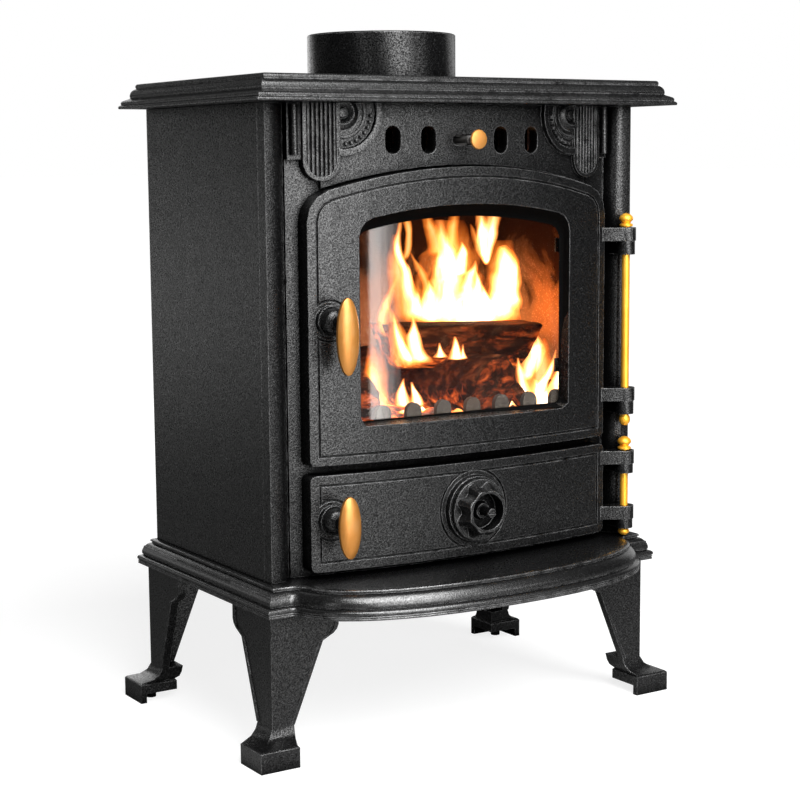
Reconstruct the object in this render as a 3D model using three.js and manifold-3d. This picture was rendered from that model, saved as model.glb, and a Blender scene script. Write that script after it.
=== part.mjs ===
// A small cast iron stove as an assembly of its separate castings, doors, latches and fastenings.
// Millimetres, +Z up, the front faces -Y, and the floor is at zero.

import * as THREE from "three";
import { mergeVertices } from "three/addons/utils/BufferGeometryUtils.js";
import Module from "manifold-3d";

const wasm = await Module();
wasm.setup();

// Shared clearances and fineness
const gap = 0.3;
const runningGap = 0.35;
const overrun = 30;
const arcSteps = 6;
const bowSteps = 10;
const roundSteps = 14;
const smallRoundSteps = 10;
const fineRoundSteps = 28;
const hexSides = 6;
const fullTurn = 2 * Math.PI;
const quarterTurn = Math.PI / 2;

// Body box, measured at the outside of the side castings
const bodyHalfWidth = 199.4;
const bodyHalfDepth = 118;
const bodyHeight = 416.1;
const castWall = 8;

// Stack of heights
const legHeight = 133;
const baseHeight = 25.7;
const topHeight = 23;
const collarHeight = 45.6;
const baseTop = legHeight + baseHeight;
const topLow = baseTop + bodyHeight;
const topFace = topLow + topHeight;
const bodyLow = baseTop + gap;
const bodyHigh = topLow - gap;
const bodyFront = -bodyHalfDepth;
const bodyBack = bodyHalfDepth;

// Bow of the front: the doors, the frieze and the frame share one centre
const doorProud = 21.5;
const doorDepth = 16.5;
const doorSkin = 7.5;
const friezeProud = 5;
const framePlate = 8;
const frameSideInset = 25.4;
const frameHalfWidth = bodyHalfWidth - frameSideInset;
const bowRise = 16.75;
const bowRadius = (frameHalfWidth ** 2 + bowRise ** 2) / (2 * bowRise);
const doorApex = bodyFront - doorProud;
const doorSkinApex = doorApex + doorSkin;
const frameApex = doorApex + doorDepth;
const frameBackApex = frameApex + framePlate;
const friezeApex = frameApex - friezeProud;
const bowCentre = doorApex + bowRadius;
const frontLimit = doorApex - overrun;
const backLimit = bodyFront + overrun;

// Corner of the frame: a groove, a round roll and a flat edge that returns along the side
const cornerFlat = 4.4;
const cornerGroove = 4;
const cornerGrooveDepth = 3.2;
const cornerRollPull = 15;
const cornerDepth = 20.5;
const sideReturn = 13.3;

// Doors
const doorSideInset = 11;
const doorHalfWidth = frameHalfWidth - doorSideInset;
const grooveInset = 7.8;
const grooveWidth = 2;
const grooveDepth = 2.2;

// Main door outline and its window
const mainDoorRise = 100.6;
const mainDoorHeight = 259.7;
const mainDoorLow = baseTop + mainDoorRise;
const mainDoorHigh = mainDoorLow + mainDoorHeight;
const mainArchRadius = 540;
const mainShoulder = 28;
const mainFoot = 5;
const mainWall = 6;
const mainOverlap = 11.5;
const windowSideInset = 47.5;
const windowHalfWidth = doorHalfWidth - windowSideInset;
const windowLowInset = 32;
const windowTopInset = 33;
const windowShoulder = 18;
const windowFoot = 9;
const windowDepth = 12;
const windowDraft = 2;
const windowTopDraft = 9.5;
const glassLap = 4.5;
const glassSeatLap = 7;
const glassThickness = 4;

// Ash door outline
const ashDoorRise = 6.3;
const ashDoorHeight = 86.2;
const ashDoorLow = baseTop + ashDoorRise;
const ashDoorHigh = ashDoorLow + ashDoorHeight;
const ashCorner = 5;
const ashWall = 4.5;
const ashOverlap = 9.5;

// Handles: boss, shaft and latch cam
const handleInset = 19.5;
const mainHandleRise = 127.7;
const ashHandleAbove = 3;
const handleX = handleInset - doorHalfWidth;
const mainHandleZ = mainDoorLow + mainHandleRise;
const ashHandleZ = (ashDoorLow + ashDoorHigh) / 2 + ashHandleAbove;
const handlePadRadius = 13.6;
const handlePadProud = 1.2;
const handleGrooveRadius = 17;
const handleBossRadius = 11.8;
const handleBossLength = 8;
const handleRimShare = 0.6;
const handleCrownShare = 0.8;
const handleNeckShare = 1.2;
const handleNeckRadius = 5.6;
const handleNeckLength = 12;
const handleShaftRadius = 5;
const handleTipRadius = 3.6;
const handleTipLength = 6;
const camHalfWidth = 4.5;
const camReach = 22;
const camThickness = 6;
const camHubRadius = 5.6;
const camHubLength = 3.5;
const mainKnobLow = 46.6;
const mainKnobHigh = 23.9;
const ashKnobLow = 30.8;
const ashKnobHigh = 26.8;
const knobHalfWidth = 11.3;
const knobHalfDepth = 6.4;

// Spin wheel on the ash door
const wheelZ = (ashDoorLow + ashDoorHigh) / 2 - 0.5 * gap;

const wheelRingRadius = 31.5;
const wheelRingProud = 5;
const wheelRingWidth = 3.4;
const wheelDiscRadius = 28.4;
const wheelDiscThickness = 3.2;
const wheelLobeRadius = 26.6;
const wheelLobeDip = 6;
const wheelCrownRadius = 21.2;
const wheelCrownDip = 2.2;
const wheelCrownRound = 1.4;
const wheelLobes = 8;
const wheelCrownHeight = 13;
const wheelLobeSteps = 8;
const wheelLobeSharpness = 1.8;
const wheelBowlRadius = 17;
const wheelHubFoot = 9.5;
const wheelHubRadius = 6.8;
const wheelHubLength = 8.5;
const spindleRadius = 4.2;
const spindleStickOut = 14.2;
const spindleHead = 4.5;
const spindleHeadRadius = 8;
const spindleSlot = 1.4;
const washerRadius = 9;
const washerThickness = 1.4;
const airHoleRadius = 4.2;
const airHoleCircle = 19;
const airHoleCount = 6;

// Hinges
const hingeOutset = 11;
const hingeX = frameHalfWidth + hingeOutset;
const hingeFront = 12;
const hingeEyeRadius = 9.7;
const knuckleRadius = 8.8;
const knuckleArmShare = 0.6;
const pinRadius = 3.9;
const finialRadius = 6.8;
const finialHeight = 13.5;
const mainEarHeight = 12.6;
const mainKnuckleHeight = 12.8;
const mainUpperEarRise = 187.6;
const mainLowerEarRise = 33.4;
const mainUpperEarLow = mainDoorLow + mainUpperEarRise;
const mainLowerEarLow = mainDoorLow + mainLowerEarRise;
const ashEarHeight = 12.8;
const ashKnuckleHeight = 9;
const ashUpperEarRise = 65.9;
const ashLowerEarRise = 11.5;
const ashUpperEarLow = ashDoorLow + ashUpperEarRise;
const ashLowerEarLow = ashDoorLow + ashLowerEarRise;
const pinNutHeight = 11;
const ashPinNutHeight = 7;
const pinNutRadius = 5.6;
const hingeY = bodyFront - hingeFront;

// Frieze of the front frame, with its reeded tabs, quarter rosettes and end bars
const friezeRise = 7;
const friezeSideInset = 30;
const friezeLow = mainDoorHigh + friezeRise;
const friezeInnerHalf = frameHalfWidth - friezeSideInset;
const friezeDoorGap = 2;
const slotHalfWidth = 7.9;
const slotHalfHeight = 12.4;
const slotRise = 16.7;
const slotFirst = 39.3;
const slotPitch = 36;
const slotZ = friezeLow + slotRise;
const slotPlaces = [slotFirst, slotFirst + slotPitch];
const stemSlotHalfLength = 14;
const stemSlotHalfHeight = 4.9;
const tabSideInset = 12.5;
const tabWidth = 34;
const tabBelow = 18.4;
const tabOuter = frameHalfWidth - tabSideInset;
const tabInner = tabOuter - tabWidth;
const tabLow = friezeLow - tabBelow;
const tabProud = 3.5;
const reedCount = 7;
const reedBorder = 3.4;
const reedDepth = 2.2;
const rosetteSideInset = 50;
const rosetteRise = 40;
const rosetteX = frameHalfWidth - rosetteSideInset;
const rosetteZ = friezeLow + rosetteRise;
const rosetteRadius = 37;
const rosetteProud = 4.2;
const beadCircle = 26.7;
const beadRadius = 2;
const beadCount = 8;
const beadFirst = 0.5;
const barSideInset = 5;
const barX = frameHalfWidth - barSideInset;
const barRadius = 3.3;
const barProud = 6;
const barRise = 4;
const barLow = friezeLow + barRise;
const barTopGap = 1;

// Air slider behind the frieze
const sliderPadHalf = 113;
const sliderPadBehind = 3;
const sliderPadMargin = 9;
const sliderHalfLength = 100;
const sliderHalfHeight = 16.7;
const sliderThickness = 3;
const sliderRail = 6.5;
const sliderOffset = 8;
const sliderStemRadius = 3;
const sliderCollarRadius = 4;
const sliderKnobRadius = 9;
const sliderKnobDepth = 5.5;
const sliderReach = 17;
const keeperHalfWidth = 6;
const keeperThickness = 2;
const keeperX = 91;
const keeperHeadRadius = 2.8;

// Top plate and flue collar
const topSideLap = 25.6;
const topHalfWidth = bodyHalfWidth + topSideLap;
const topFrontLap = 37.6;
const topBackLap = 7.1;
const topMouldInset = 14.2;
const topSkin = 7.8;
const rimInside = 9.4;
const collarY = 13.9;
const collarRadius = 71.1;
const collarBore = 63.5;
const collarLip = 1.2;
const collarFlange = 84;
const collarFlangeThickness = 6.5;
const collarBoltCircle = 77.6;
const collarBoltCount = 3;
const boltRadius = 3;
const boltHeadRadius = 5.4;
const boltHeadHeight = 4;

// Base plate with the bowed ash lip
const baseSideLap = 15.5;
const baseHalfWidth = bodyHalfWidth + baseSideLap;
const baseFrontLap = 21.9;
const baseBackLap = 14.5;
const baseMouldInset = 14.5;
const baseRim = 10;
const baseSkin = 8;
const lipSideInset = 27.9;
const lipHalfWidth = baseHalfWidth - lipSideInset;
const lipDepth = 74;
const lipPower = 2.3;
const lipFillet = 6;
const lipSteps = 20;
const cornerPadMargin = 1;
const panRailInset = 34;
const panRailHalf = 4;

// Legs
const legWebWidth = 68;
const legWebSideWidth = 69.5;
const legWeb = 7;
const legInsetX = 7;
const legInsetY = 10.5;
const legNeckX = 22;
const legNeckY = 27;
const legFlange = 8;
const legEdgeBead = 1.2;
const legBeadWidth = 3.6;
const footSize = 38.5;
const footHeight = 19.5;
const footOutX = 20.6;
const footOutY = 17.6;
const footWall = 6;
const footShoulder = 1.5;
const neckHeight = 14.1;
const footNubRadius = 5;
const footArchHeight = 9;
const legBoltInset = 13;
const legBoltRadius = 4;
const legBoltHead = 5;
const legBoltHeadRadius = 7;
const legBoltGrip = 14;

// Tie rods that clamp the body between the top and the base
const rodSideInset = 16.4;
const rodFrontInset = 27;
const rodBackInset = 18;
const rodX = bodyHalfWidth - rodSideInset;
const rodFrontY = bodyFront + rodFrontInset;
const rodBackY = bodyBack - rodBackInset;
const rodRadius = 4;
const rodHeadRadius = 7.5;
const rodHeadHeight = 6.5;
const rodSinkRadius = 9;
const rodBossRadius = 9;
const rodBossDepth = 12;

// Firebox lining, grate, guard, baffle and ash pan
const ledgeRise = 2.7;
const ledgeLow = mainDoorLow + ledgeRise;
const ledgeHeight = 8;
const ledgeReach = 35;
const brickThickness = 23;
const brickBelow = 29;
const brickEndInset = 34;
const brickTop = mainDoorHigh - brickBelow;
const brickHalfLength = bodyHalfDepth - brickEndInset;
const grateThickness = 10;
const grateSlots = 9;
const grateSlotHalf = 5;
const grateBorder = 18;
const grateFrontGap = 2.5;
const guardOutset = 6.5;
const guardHalfWidth = windowHalfWidth + guardOutset;
const guardHeight = 36;
const guardBand = 19;
const guardThickness = 5;
const guardFront = 4;
const guardFingers = 8;
const guardEndInset = 7.9;
const guardPitch = 2 * (guardHalfWidth - guardEndInset) / (guardFingers - 1);
const guardFingerHalf = 8;
const guardLedge = 12;
const baffleThickness = 8;
const baffleFrontInset = 78;
const baffleFront = bodyFront + baffleFrontInset;
const panSideInset = 29;
const panFrontInset = 32;
const panBackInset = 22;
const panHalfWidth = doorHalfWidth - panSideInset;
const panFront = bodyFront + panFrontInset;
const panBack = bodyBack - panBackInset;
const panRailX = panHalfWidth - panRailInset;
const panHeight = 55;
const panWall = 2.4;
const panGripHalf = 34;
const backBorder = 26;
const backFieldDepth = 2;
const rearCoverRadius = 76;
const rearOutletRadius = 62;
const rearCoverBelow = 104.1;
const rearCoverZ = topLow - rearCoverBelow;
const rearCoverThickness = 6;
const rearCoverLug = 9;

// Glass clips
const clipOutset = 11.5;
const clipX = windowHalfWidth + clipOutset;
const clipInner = 17;
const clipOuter = 6;
const clipHalfHeight = 6.5;
const clipThickness = 2;
const clipBossRadius = 5;
const clipScrewRadius = 1.8;
const clipScrewHead = 3.6;
const clipScrewHeadHeight = 2;
const clipScrewLength = 7;
const clipLowRise = 39.4;
const clipPitch = 114;
const clipLowZ = mainDoorLow + windowLowInset + clipLowRise;
const clipHeights = [clipLowZ, clipLowZ + clipPitch];

// Profiles as shares of the height (upward) and of the full inset of a moulding
const topMouldShares = [
  [0.03, 0], [0, 0.03], [0, 0.09], [0.05, 0.13], [0.12, 0.15], [0.16, 0.17], [0.13, 0.2], [0.14, 0.26],
  [0.2, 0.31], [0.36, 0.36], [0.52, 0.4], [0.6, 0.43], [0.62, 0.46], [0.59, 0.49], [0.6, 0.58],
  [0.64, 0.66], [0.72, 0.73], [0.82, 0.78], [0.9, 0.8], [0.92, 0.83], [0.88, 0.86], [0.89, 0.93],
  [0.94, 0.98], [1, 1],
];
const baseMouldShares = [
  [0.12, 0], [0.05, 0.02], [0.05, 0.07], [0.1, 0.09], [0.04, 0.11], [0.04, 0.14], [0.1, 0.16],
  [0.02, 0.19], [0, 0.25], [0.05, 0.31], [0.14, 0.34], [0.27, 0.36], [0.31, 0.385], [0.26, 0.41],
  [0.25, 0.5], [0.3, 0.6], [0.4, 0.7], [0.53, 0.78], [0.66, 0.825], [0.76, 0.84], [0.78, 0.87],
  [0.69, 0.9], [0.7, 0.95], [0.78, 0.985], [1, 1],
];
const legInnerShares = [[1, 0], [1, 0.15], [0.975, 0.19], [0.92, 0.225], [0.76, 0.28]];
const neckShares = [[0, 0], [0.55, 0.22], [0.84, 0.55], [1, 1]];
const finialShares = [
  [0.58, 0], [0.95, 0.06], [0.95, 0.2], [0.62, 0.28], [0.66, 0.36], [0.95, 0.5],
  [1, 0.62], [0.86, 0.78], [0.5, 0.93], [0, 1],
];
const nutShares = [0.5, 0.9, 1, 0.9, 0.6];
const knobShares = [[0, 0], [0.5, 0], [0.86, 0.3], [1, 0.55], [0.92, 0.8], [0.6, 0.96], [0, 1]];
const rosetteShares = [
  [0, 0.8], [0.1, 0.7], [0.14, 0.25], [0.18, 0.7], [0.27, 1], [0.36, 0.75], [0.41, 0.2],
  [0.52, 0.2], [0.54, 0.55], [0.59, 0.55], [0.61, 0.2], [0.82, 0.2], [0.85, 0.9], [0.88, 1], [1, 1],
];

// Materials
const paint = { color: 0x1b1c1d, roughness: 0.55, metalness: 0.35 };
const darkIron = { color: 0x141415, roughness: 0.75, metalness: 0.3 };
const brass = { color: 0xd9a441, roughness: 0.28, metalness: 1 };
const steel = { color: 0x8d8f92, roughness: 0.4, metalness: 0.9 };
const glassLook = { color: 0xbfc8c8, roughness: 0.05, metalness: 0 };
const brickLook = { color: 0xb98a55, roughness: 0.95, metalness: 0 };
const ropeLook = { color: 0x2b2b2c, roughness: 1, metalness: 0 };

// Turns a closed three.js geometry into a solid, whichever way its faces wind.
function toSolid(geometry) {
  const bare = geometry.clone();
  bare.deleteAttribute("normal");
  bare.deleteAttribute("uv");
  const merged = mergeVertices(bare);
  const places = merged.attributes.position.array;
  const corners = [];
  let volume = 0;
  for (let i = 0; i < merged.index.count; i += 3) {
    const [a, b, c] = [0, 1, 2].map((k) => merged.index.getX(i + k));
    if (a === b || b === c || a === c) continue;
    corners.push(a, b, c);
    const [p, q, r] = [a, b, c].map((k) => new THREE.Vector3().fromArray(places, 3 * k));
    volume += p.dot(q.cross(r));
  }
  if (volume < 0) corners.reverse();
  const mesh = new wasm.Mesh({
    numProp: 3,
    vertProperties: new Float32Array(places),
    triVerts: new Uint32Array(corners),
  });
  return new wasm.Manifold(mesh);
}

function joined(...solids) {
  return solids.flat().reduce((whole, next) => whole.add(next));
}

function cut(solid, ...tools) {
  return tools.flat().reduce((rest, tool) => rest.subtract(tool), solid);
}

// Flat outlines are lists of 2D points, counter-clockwise.
function point(a, b) {
  return new THREE.Vector2(a, b);
}

function arc(centreA, centreB, radius, from, to, steps = arcSteps) {
  return Array.from({ length: steps + 1 }, (_, i) => {
    const angle = from + ((to - from) * i) / steps;
    return point(centreA + radius * Math.cos(angle), centreB + radius * Math.sin(angle));
  });
}

function circle(a, b, radius, steps = roundSteps) {
  return arc(a, b, radius, 0, fullTurn * (1 - 1 / steps), steps - 1);
}

function rectangle(lowA, highA, lowB, highB) {
  return [point(lowA, lowB), point(highA, lowB), point(highA, highB), point(lowA, highB)];
}

function roundedRectangle(lowA, highA, lowB, highB, radius, steps = arcSteps / 2) {
  return [
    ...arc(highA - radius, lowB + radius, radius, -quarterTurn, 0, steps),
    ...arc(highA - radius, highB - radius, radius, 0, quarterTurn, steps),
    ...arc(lowA + radius, highB - radius, radius, quarterTurn, 2 * quarterTurn, steps),
    ...arc(lowA + radius, lowB + radius, radius, 2 * quarterTurn, 3 * quarterTurn, steps),
  ];
}

// Splits the first long side after an outline's right foot, so that it can follow the bow.
function subdivided(outline) {
  const from = outline.at(-1);
  const to = outline[0];
  const between = Array.from({ length: bowSteps - 1 }, (_, i) => from.clone().lerp(to, (i + 1) / bowSteps));
  return [...outline, ...between];
}

// Moves every side of an outline inward by the inset, with mitred corners.
function insetOutline(outline, inset) {
  const count = outline.length;
  return outline.map((here, i) => {
    const before = outline[(i + count - 1) % count];
    const after = outline[(i + 1) % count];
    const first = point(before.y - here.y, here.x - before.x).normalize();
    const second = point(here.y - after.y, after.x - here.x).normalize();
    const scale = inset / (1 + first.dot(second));
    return here.clone().add(first.add(second).multiplyScalar(scale));
  });
}

function extruded(outline, length, holes = []) {
  const shape = new THREE.Shape(outline);
  shape.holes = holes.map((hole) => new THREE.Path([...hole].reverse()));
  return new THREE.ExtrudeGeometry(shape, { depth: length, bevelEnabled: false, steps: 1 });
}

// Prism of an (x, y) outline between two heights
function prismZ(outline, low, high, holes) {
  return toSolid(extruded(outline, high - low, holes).translate(0, 0, low));
}

// Prism of an (x, z) outline between two depths
function prismY(outline, front, back, holes) {
  return toSolid(extruded(outline, back - front, holes).rotateX(quarterTurn).translate(0, back, 0));
}

// Prism of a (y, z) outline between two places across
function prismX(outline, left, right, holes) {
  const turn = new THREE.Matrix4().makeBasis(
    new THREE.Vector3(0, 1, 0), new THREE.Vector3(0, 0, 1), new THREE.Vector3(1, 0, 0));
  return toSolid(extruded(outline, right - left, holes).applyMatrix4(turn).translate(left, 0, 0));
}

function box(lowX, highX, front, back, low, high) {
  return prismZ(rectangle(lowX, highX, front, back), low, high);
}

// Turned solids: the profile is a list of (radius, height) points from axis to axis.
function turnedGeometry(profile, steps = roundSteps) {
  return new THREE.LatheGeometry(profile.map(([r, h]) => point(r, h)), steps).rotateX(quarterTurn);
}

function turnedZ(profile, x, y, steps) {
  return toSolid(turnedGeometry(profile, steps).translate(x, y, 0));
}

// The profile's height runs towards the front from the given depth.
function turnedY(profile, x, back, z, steps) {
  const geometry = turnedGeometry(profile, steps).rotateX(quarterTurn);
  return toSolid(geometry.translate(x, back, z));
}

function rodZ(x, y, radius, low, high, steps = smallRoundSteps) {
  return prismZ(circle(x, y, radius, steps), low, high);
}

function rodY(x, z, radius, front, back, steps = smallRoundSteps) {
  return prismY(circle(x, z, radius, steps), front, back);
}

// Joins outlines with the same number of points, each at its own level along an axis.
function loft(levels, place) {
  const count = levels[0].outline.length;
  const places = [];
  const index = [];
  for (const { outline, at } of levels) {
    for (const p of outline) places.push(...place(p.x, p.y, at));
  }
  for (let k = 0; k + 1 < levels.length; k += 1) {
    for (let i = 0; i < count; i += 1) {
      const a = k * count + i;
      const b = k * count + ((i + 1) % count);
      index.push(a, b, b + count, a, b + count, a + count);
    }
  }
  const last = (levels.length - 1) * count;
  for (const [a, b, c] of THREE.ShapeUtils.triangulateShape(levels[0].outline, [])) index.push(a, c, b);
  for (const [a, b, c] of THREE.ShapeUtils.triangulateShape(levels.at(-1).outline, [])) {
    index.push(last + a, last + b, last + c);
  }
  const geometry = new THREE.BufferGeometry();
  geometry.setAttribute("position", new THREE.Float32BufferAttribute(places, 3));
  geometry.setIndex(index);
  return toSolid(geometry);
}

function moulding(outline, shares, inset, low, height) {
  const levels = shares.map(([across, up]) => ({
    outline: insetOutline(outline, across * inset),
    at: low + up * height,
  }));
  return loft(levels, (x, y, z) => [x, y, z]);
}

// Depth of a bowed face at a place across it
function bowDepth(x, apex) {
  return bowCentre - Math.sqrt((bowCentre - apex) ** 2 - x * x);
}

function doorFace(x) {
  return bowDepth(x, doorApex);
}

function frameFace(x) {
  return bowDepth(x, frameApex);
}

function bowLine(apex) {
  return Array.from({ length: bowSteps + 1 }, (_, i) => {
    const x = frameHalfWidth * (2 * i / bowSteps - 1);
    return point(x, bowDepth(x, apex));
  });
}

// Slab between two bowed faces, as wide as the frame's plate
function bowSlab(frontApex, backApex, low, high) {
  return prismZ([...bowLine(frontApex), ...bowLine(backApex).reverse()], low, high);
}

// Everything behind a bowed face
function behindBow(apex) {
  const half = frameHalfWidth;
  return prismZ([...bowLine(apex), point(half, backLimit), point(-half, backLimit)], 0, topLow);
}

// Outline with a flat foot, straight sides, round shoulders and a low arch on top
function archedOutline(form, inset) {
  const half = form.halfWidth - inset;
  const low = form.low + inset;
  const foot = Math.max(form.foot - inset, 0);
  const shoulder = form.shoulder - inset;
  const archRadius = form.archRadius - inset;
  const archCentre = form.high - form.archRadius;
  const shoulderX = half - shoulder;
  const shoulderZ = archCentre + Math.sqrt((archRadius - shoulder) ** 2 - shoulderX ** 2);
  const turn = Math.atan2(shoulderZ - archCentre, shoulderX);
  const footRight = foot > 0
    ? arc(half - foot, low + foot, foot, -quarterTurn, 0, arcSteps / 4) : [point(half, low)];
  const footLeft = foot > 0
    ? arc(foot - half, low + foot, foot, 2 * quarterTurn, 3 * quarterTurn, arcSteps / 4)
    : [point(-half, low)];
  return [
    ...footRight,
    ...arc(shoulderX, shoulderZ, shoulder, 0, turn, arcSteps / 2),
    ...arc(0, archCentre, archRadius, turn, 2 * quarterTurn - turn, 2 * arcSteps).slice(1, -1),
    ...arc(-shoulderX, shoulderZ, shoulder, 2 * quarterTurn - turn, 2 * quarterTurn, arcSteps / 2),
    ...footLeft,
  ];
}

const mainDoorForm = {
  halfWidth: doorHalfWidth, low: mainDoorLow, high: mainDoorHigh,
  archRadius: mainArchRadius, shoulder: mainShoulder, foot: mainFoot,
};
const windowForm = {
  halfWidth: windowHalfWidth, low: mainDoorLow + windowLowInset, high: mainDoorHigh - windowTopInset,
  archRadius: mainArchRadius - windowTopInset, shoulder: windowShoulder, foot: windowFoot,
};

const windowInnerForm = {
  halfWidth: windowHalfWidth - windowDraft, low: windowForm.low + windowDraft,
  high: windowForm.high - windowTopDraft, archRadius: windowForm.archRadius - windowTopDraft,
  shoulder: windowShoulder - windowDraft, foot: windowFoot - windowDraft,
};

function mainOutline(inset) {
  return archedOutline(mainDoorForm, inset);
}

function windowOutline(inset) {
  return archedOutline(windowForm, inset);
}

function windowInnerOutline(inset) {
  return archedOutline(windowInnerForm, inset);
}

function ashOutline(inset) {
  return roundedRectangle(
    inset - doorHalfWidth, doorHalfWidth - inset, ashDoorLow + inset, ashDoorHigh - inset,
    Math.max(ashCorner - inset, gap));
}

const glassFront = doorFace(windowHalfWidth) + windowDepth;
const glassBack = glassFront + glassThickness;

// Door casting: a bowed skin with a rim wall behind it and a groove round its panel
function doorBlank(outline, wall, bulges) {
  const shell = bowSlab(doorApex, frameApex - gap, bodyLow, bodyHigh)
    .intersect(prismY(outline(0), frontLimit, backLimit));
  const hollow = behindBow(doorSkinApex).intersect(prismY(outline(wall), frontLimit, backLimit));
  const panels = [grooveInset, grooveInset + grooveWidth].map((inset, turn) => {
    const grown = bulges.map(([x, z, radius]) => (
      rodY(x, z, radius + turn * grooveWidth, frontLimit, backLimit, fineRoundSteps)));
    return cut(prismY(outline(inset), frontLimit, backLimit), grown);
  });
  const groove = cut(panels[0], panels[1], behindBow(doorApex + grooveDepth));
  return cut(shell, hollow, groove);
}

const padFront = doorFace(Math.abs(handleX) - handlePadRadius) - handlePadProud;
const skinAtHandle = bowDepth(handleX, doorSkinApex);

// Eye of a door's hinge and the arm that carries it
function hingeEar(low, high) {
  const edge = doorHalfWidth - castWall / 2;
  const front = doorFace(doorHalfWidth);
  const arm = [
    point(edge, front + gap), point(doorHalfWidth + castWall, front - castWall),
    point(hingeX, hingeY - hingeEyeRadius), point(hingeX, hingeY + hingeEyeRadius),
    point(doorHalfWidth + castWall, front + castWall), point(edge, front + castWall),
  ];
  return prismZ(arm, low, high).add(rodZ(hingeX, hingeY, hingeEyeRadius, low, high, roundSteps));
}

function pinBore(low, high) {
  return rodZ(hingeX, hingeY, pinRadius + runningGap, low - overrun, high + overrun, roundSteps);
}

function mainDoor() {
  const blank = doorBlank(mainOutline, mainWall, [[handleX, mainHandleZ, handleGrooveRadius]]);
  const seat = prismY(windowOutline(-glassSeatLap), doorApex, glassFront - gap)
    .intersect(behindBow(doorApex + doorSkin / 2));
  const pad = rodY(handleX, mainHandleZ, handlePadRadius, padFront, skinAtHandle, roundSteps);
  const bosses = clipPlaces().map(([x, z]) => (
    rodY(x, z, clipBossRadius, doorFace(x) + doorSkin / 2, glassBack)));
  const ears = [mainUpperEarLow, mainLowerEarLow].map((low) => hingeEar(low, low + mainEarHeight));
  const outer = subdivided(windowOutline(0));
  const inner = subdivided(windowInnerOutline(0));
  const window = loft([
    { outline: outer, at: () => frontLimit },
    { outline: outer, at: doorFace },
    { outline: inner, at: () => glassFront - gap },
    { outline: inner, at: () => backLimit },
  ], (x, z, depth) => [x, depth(x), z]);
  const shaftBore = rodY(handleX, mainHandleZ, handleShaftRadius + runningGap, frontLimit, backLimit,
    roundSteps);
  const screwBores = clipPlaces().map(([x, z]) => (
    rodY(x, z, clipScrewRadius + gap, glassBack - clipScrewLength, backLimit)));
  return cut(joined(blank, seat, pad, bosses, ears), window, shaftBore, screwBores,
    pinBore(mainLowerEarLow, mainUpperEarLow));
}

function clipPlaces() {
  return clipHeights.flatMap((z) => [[-clipX, z], [clipX, z]]);
}

const wheelPadFront = doorApex - wheelRingProud;
const wheelDiscBack = wheelPadFront - gap - washerThickness;

function ashDoor() {
  const blank = doorBlank(ashOutline, ashWall, [
    [handleX, ashHandleZ, handleGrooveRadius], [0, wheelZ, wheelRingRadius + grooveInset / 2],
  ]);
  const pad = rodY(handleX, ashHandleZ, handlePadRadius, padFront, skinAtHandle, roundSteps);
  const ears = [ashUpperEarLow, ashLowerEarLow].map((low) => hingeEar(low, low + ashEarHeight));
  const floor = -wheelRingProud;
  const ring = turnedY([
    [0, floor], [wheelRingRadius, floor], [wheelRingRadius, wheelRingProud / 2],
    [wheelRingRadius - wheelRingWidth / 3, wheelRingProud],
    [wheelRingRadius - wheelRingWidth, wheelRingProud],
    [wheelRingRadius - wheelRingWidth, 0], [washerRadius, 0],
    [washerRadius, wheelRingProud], [0, wheelRingProud],
  ], 0, doorApex, wheelZ, roundSteps + arcSteps);
  const bore = rodY(0, wheelZ, spindleRadius + gap, frontLimit, backLimit, roundSteps);
  const air = Array.from({ length: airHoleCount }, (_, i) => {
    const angle = (fullTurn * i) / airHoleCount;
    const x = airHoleCircle * Math.cos(angle);
    return rodY(x, wheelZ + airHoleCircle * Math.sin(angle), airHoleRadius, frontLimit, backLimit);
  });
  const shaftBore = rodY(handleX, ashHandleZ, handleShaftRadius + runningGap, frontLimit, backLimit,
    roundSteps);
  return cut(joined(blank, ring, pad, ears), bore, air, shaftBore, pinBore(ashLowerEarLow, ashUpperEarLow));
}

// Rope seal in the channel behind a door's rim
function seal(outline, wall, overlap) {
  const ring = prismY(outline(wall + gap), frontLimit, backLimit, [outline(overlap - gap)]);
  return ring.intersect(bowSlab(doorSkinApex + gap, frameApex - gap, bodyLow, bodyHigh));
}

function doorGlass() {
  return prismY(windowInnerOutline(-glassLap), glassFront, glassBack);
}

function glassClip(x, z) {
  const side = Math.sign(x);
  const ends = [x - side * clipInner, x + side * clipOuter].sort((a, b) => a - b);
  const plate = prismY(rectangle(ends[0], ends[1], z - clipHalfHeight, z + clipHalfHeight),
    glassBack + gap, glassBack + gap + clipThickness);
  return plate.subtract(rodY(x, z, clipScrewRadius + gap, frontLimit, backLimit));
}

function clipScrew(x, z) {
  const under = glassBack + 2 * gap + clipThickness;
  const shank = rodY(x, z, clipScrewRadius, glassBack - clipScrewLength + gap, under + gap);
  return shank.add(rodY(x, z, clipScrewHead, under, under + clipScrewHeadHeight));
}

// Handle: a boss in front of the door, a shaft through it and a thin tip for the cam
const camFront = bowDepth(Math.abs(handleX) + camReach, frameBackApex) + 2 * gap;
const camBack = camFront + camThickness;
const knobBack = padFront - gap - handleBossLength - handleNeckLength;

function handleShaft(z) {
  const bossBack = padFront - gap;
  return joined(
    turnedY([
      [0, 0], [handleBossRadius, 0], [handleBossRadius, handleBossLength * handleRimShare],
      [handleBossRadius * handleCrownShare, handleBossLength],
      [handleNeckRadius, handleBossLength * handleNeckShare],
      [handleNeckRadius, handleBossLength + handleNeckLength - gap],
      [0, handleBossLength + handleNeckLength - gap],
    ], handleX, bossBack, z),
    rodY(handleX, z, handleShaftRadius, bossBack - gap, camFront - gap, roundSteps),
    rodY(handleX, z, handleTipRadius, camFront - 2 * gap, camFront + handleTipLength, roundSteps),
  );
}

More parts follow.
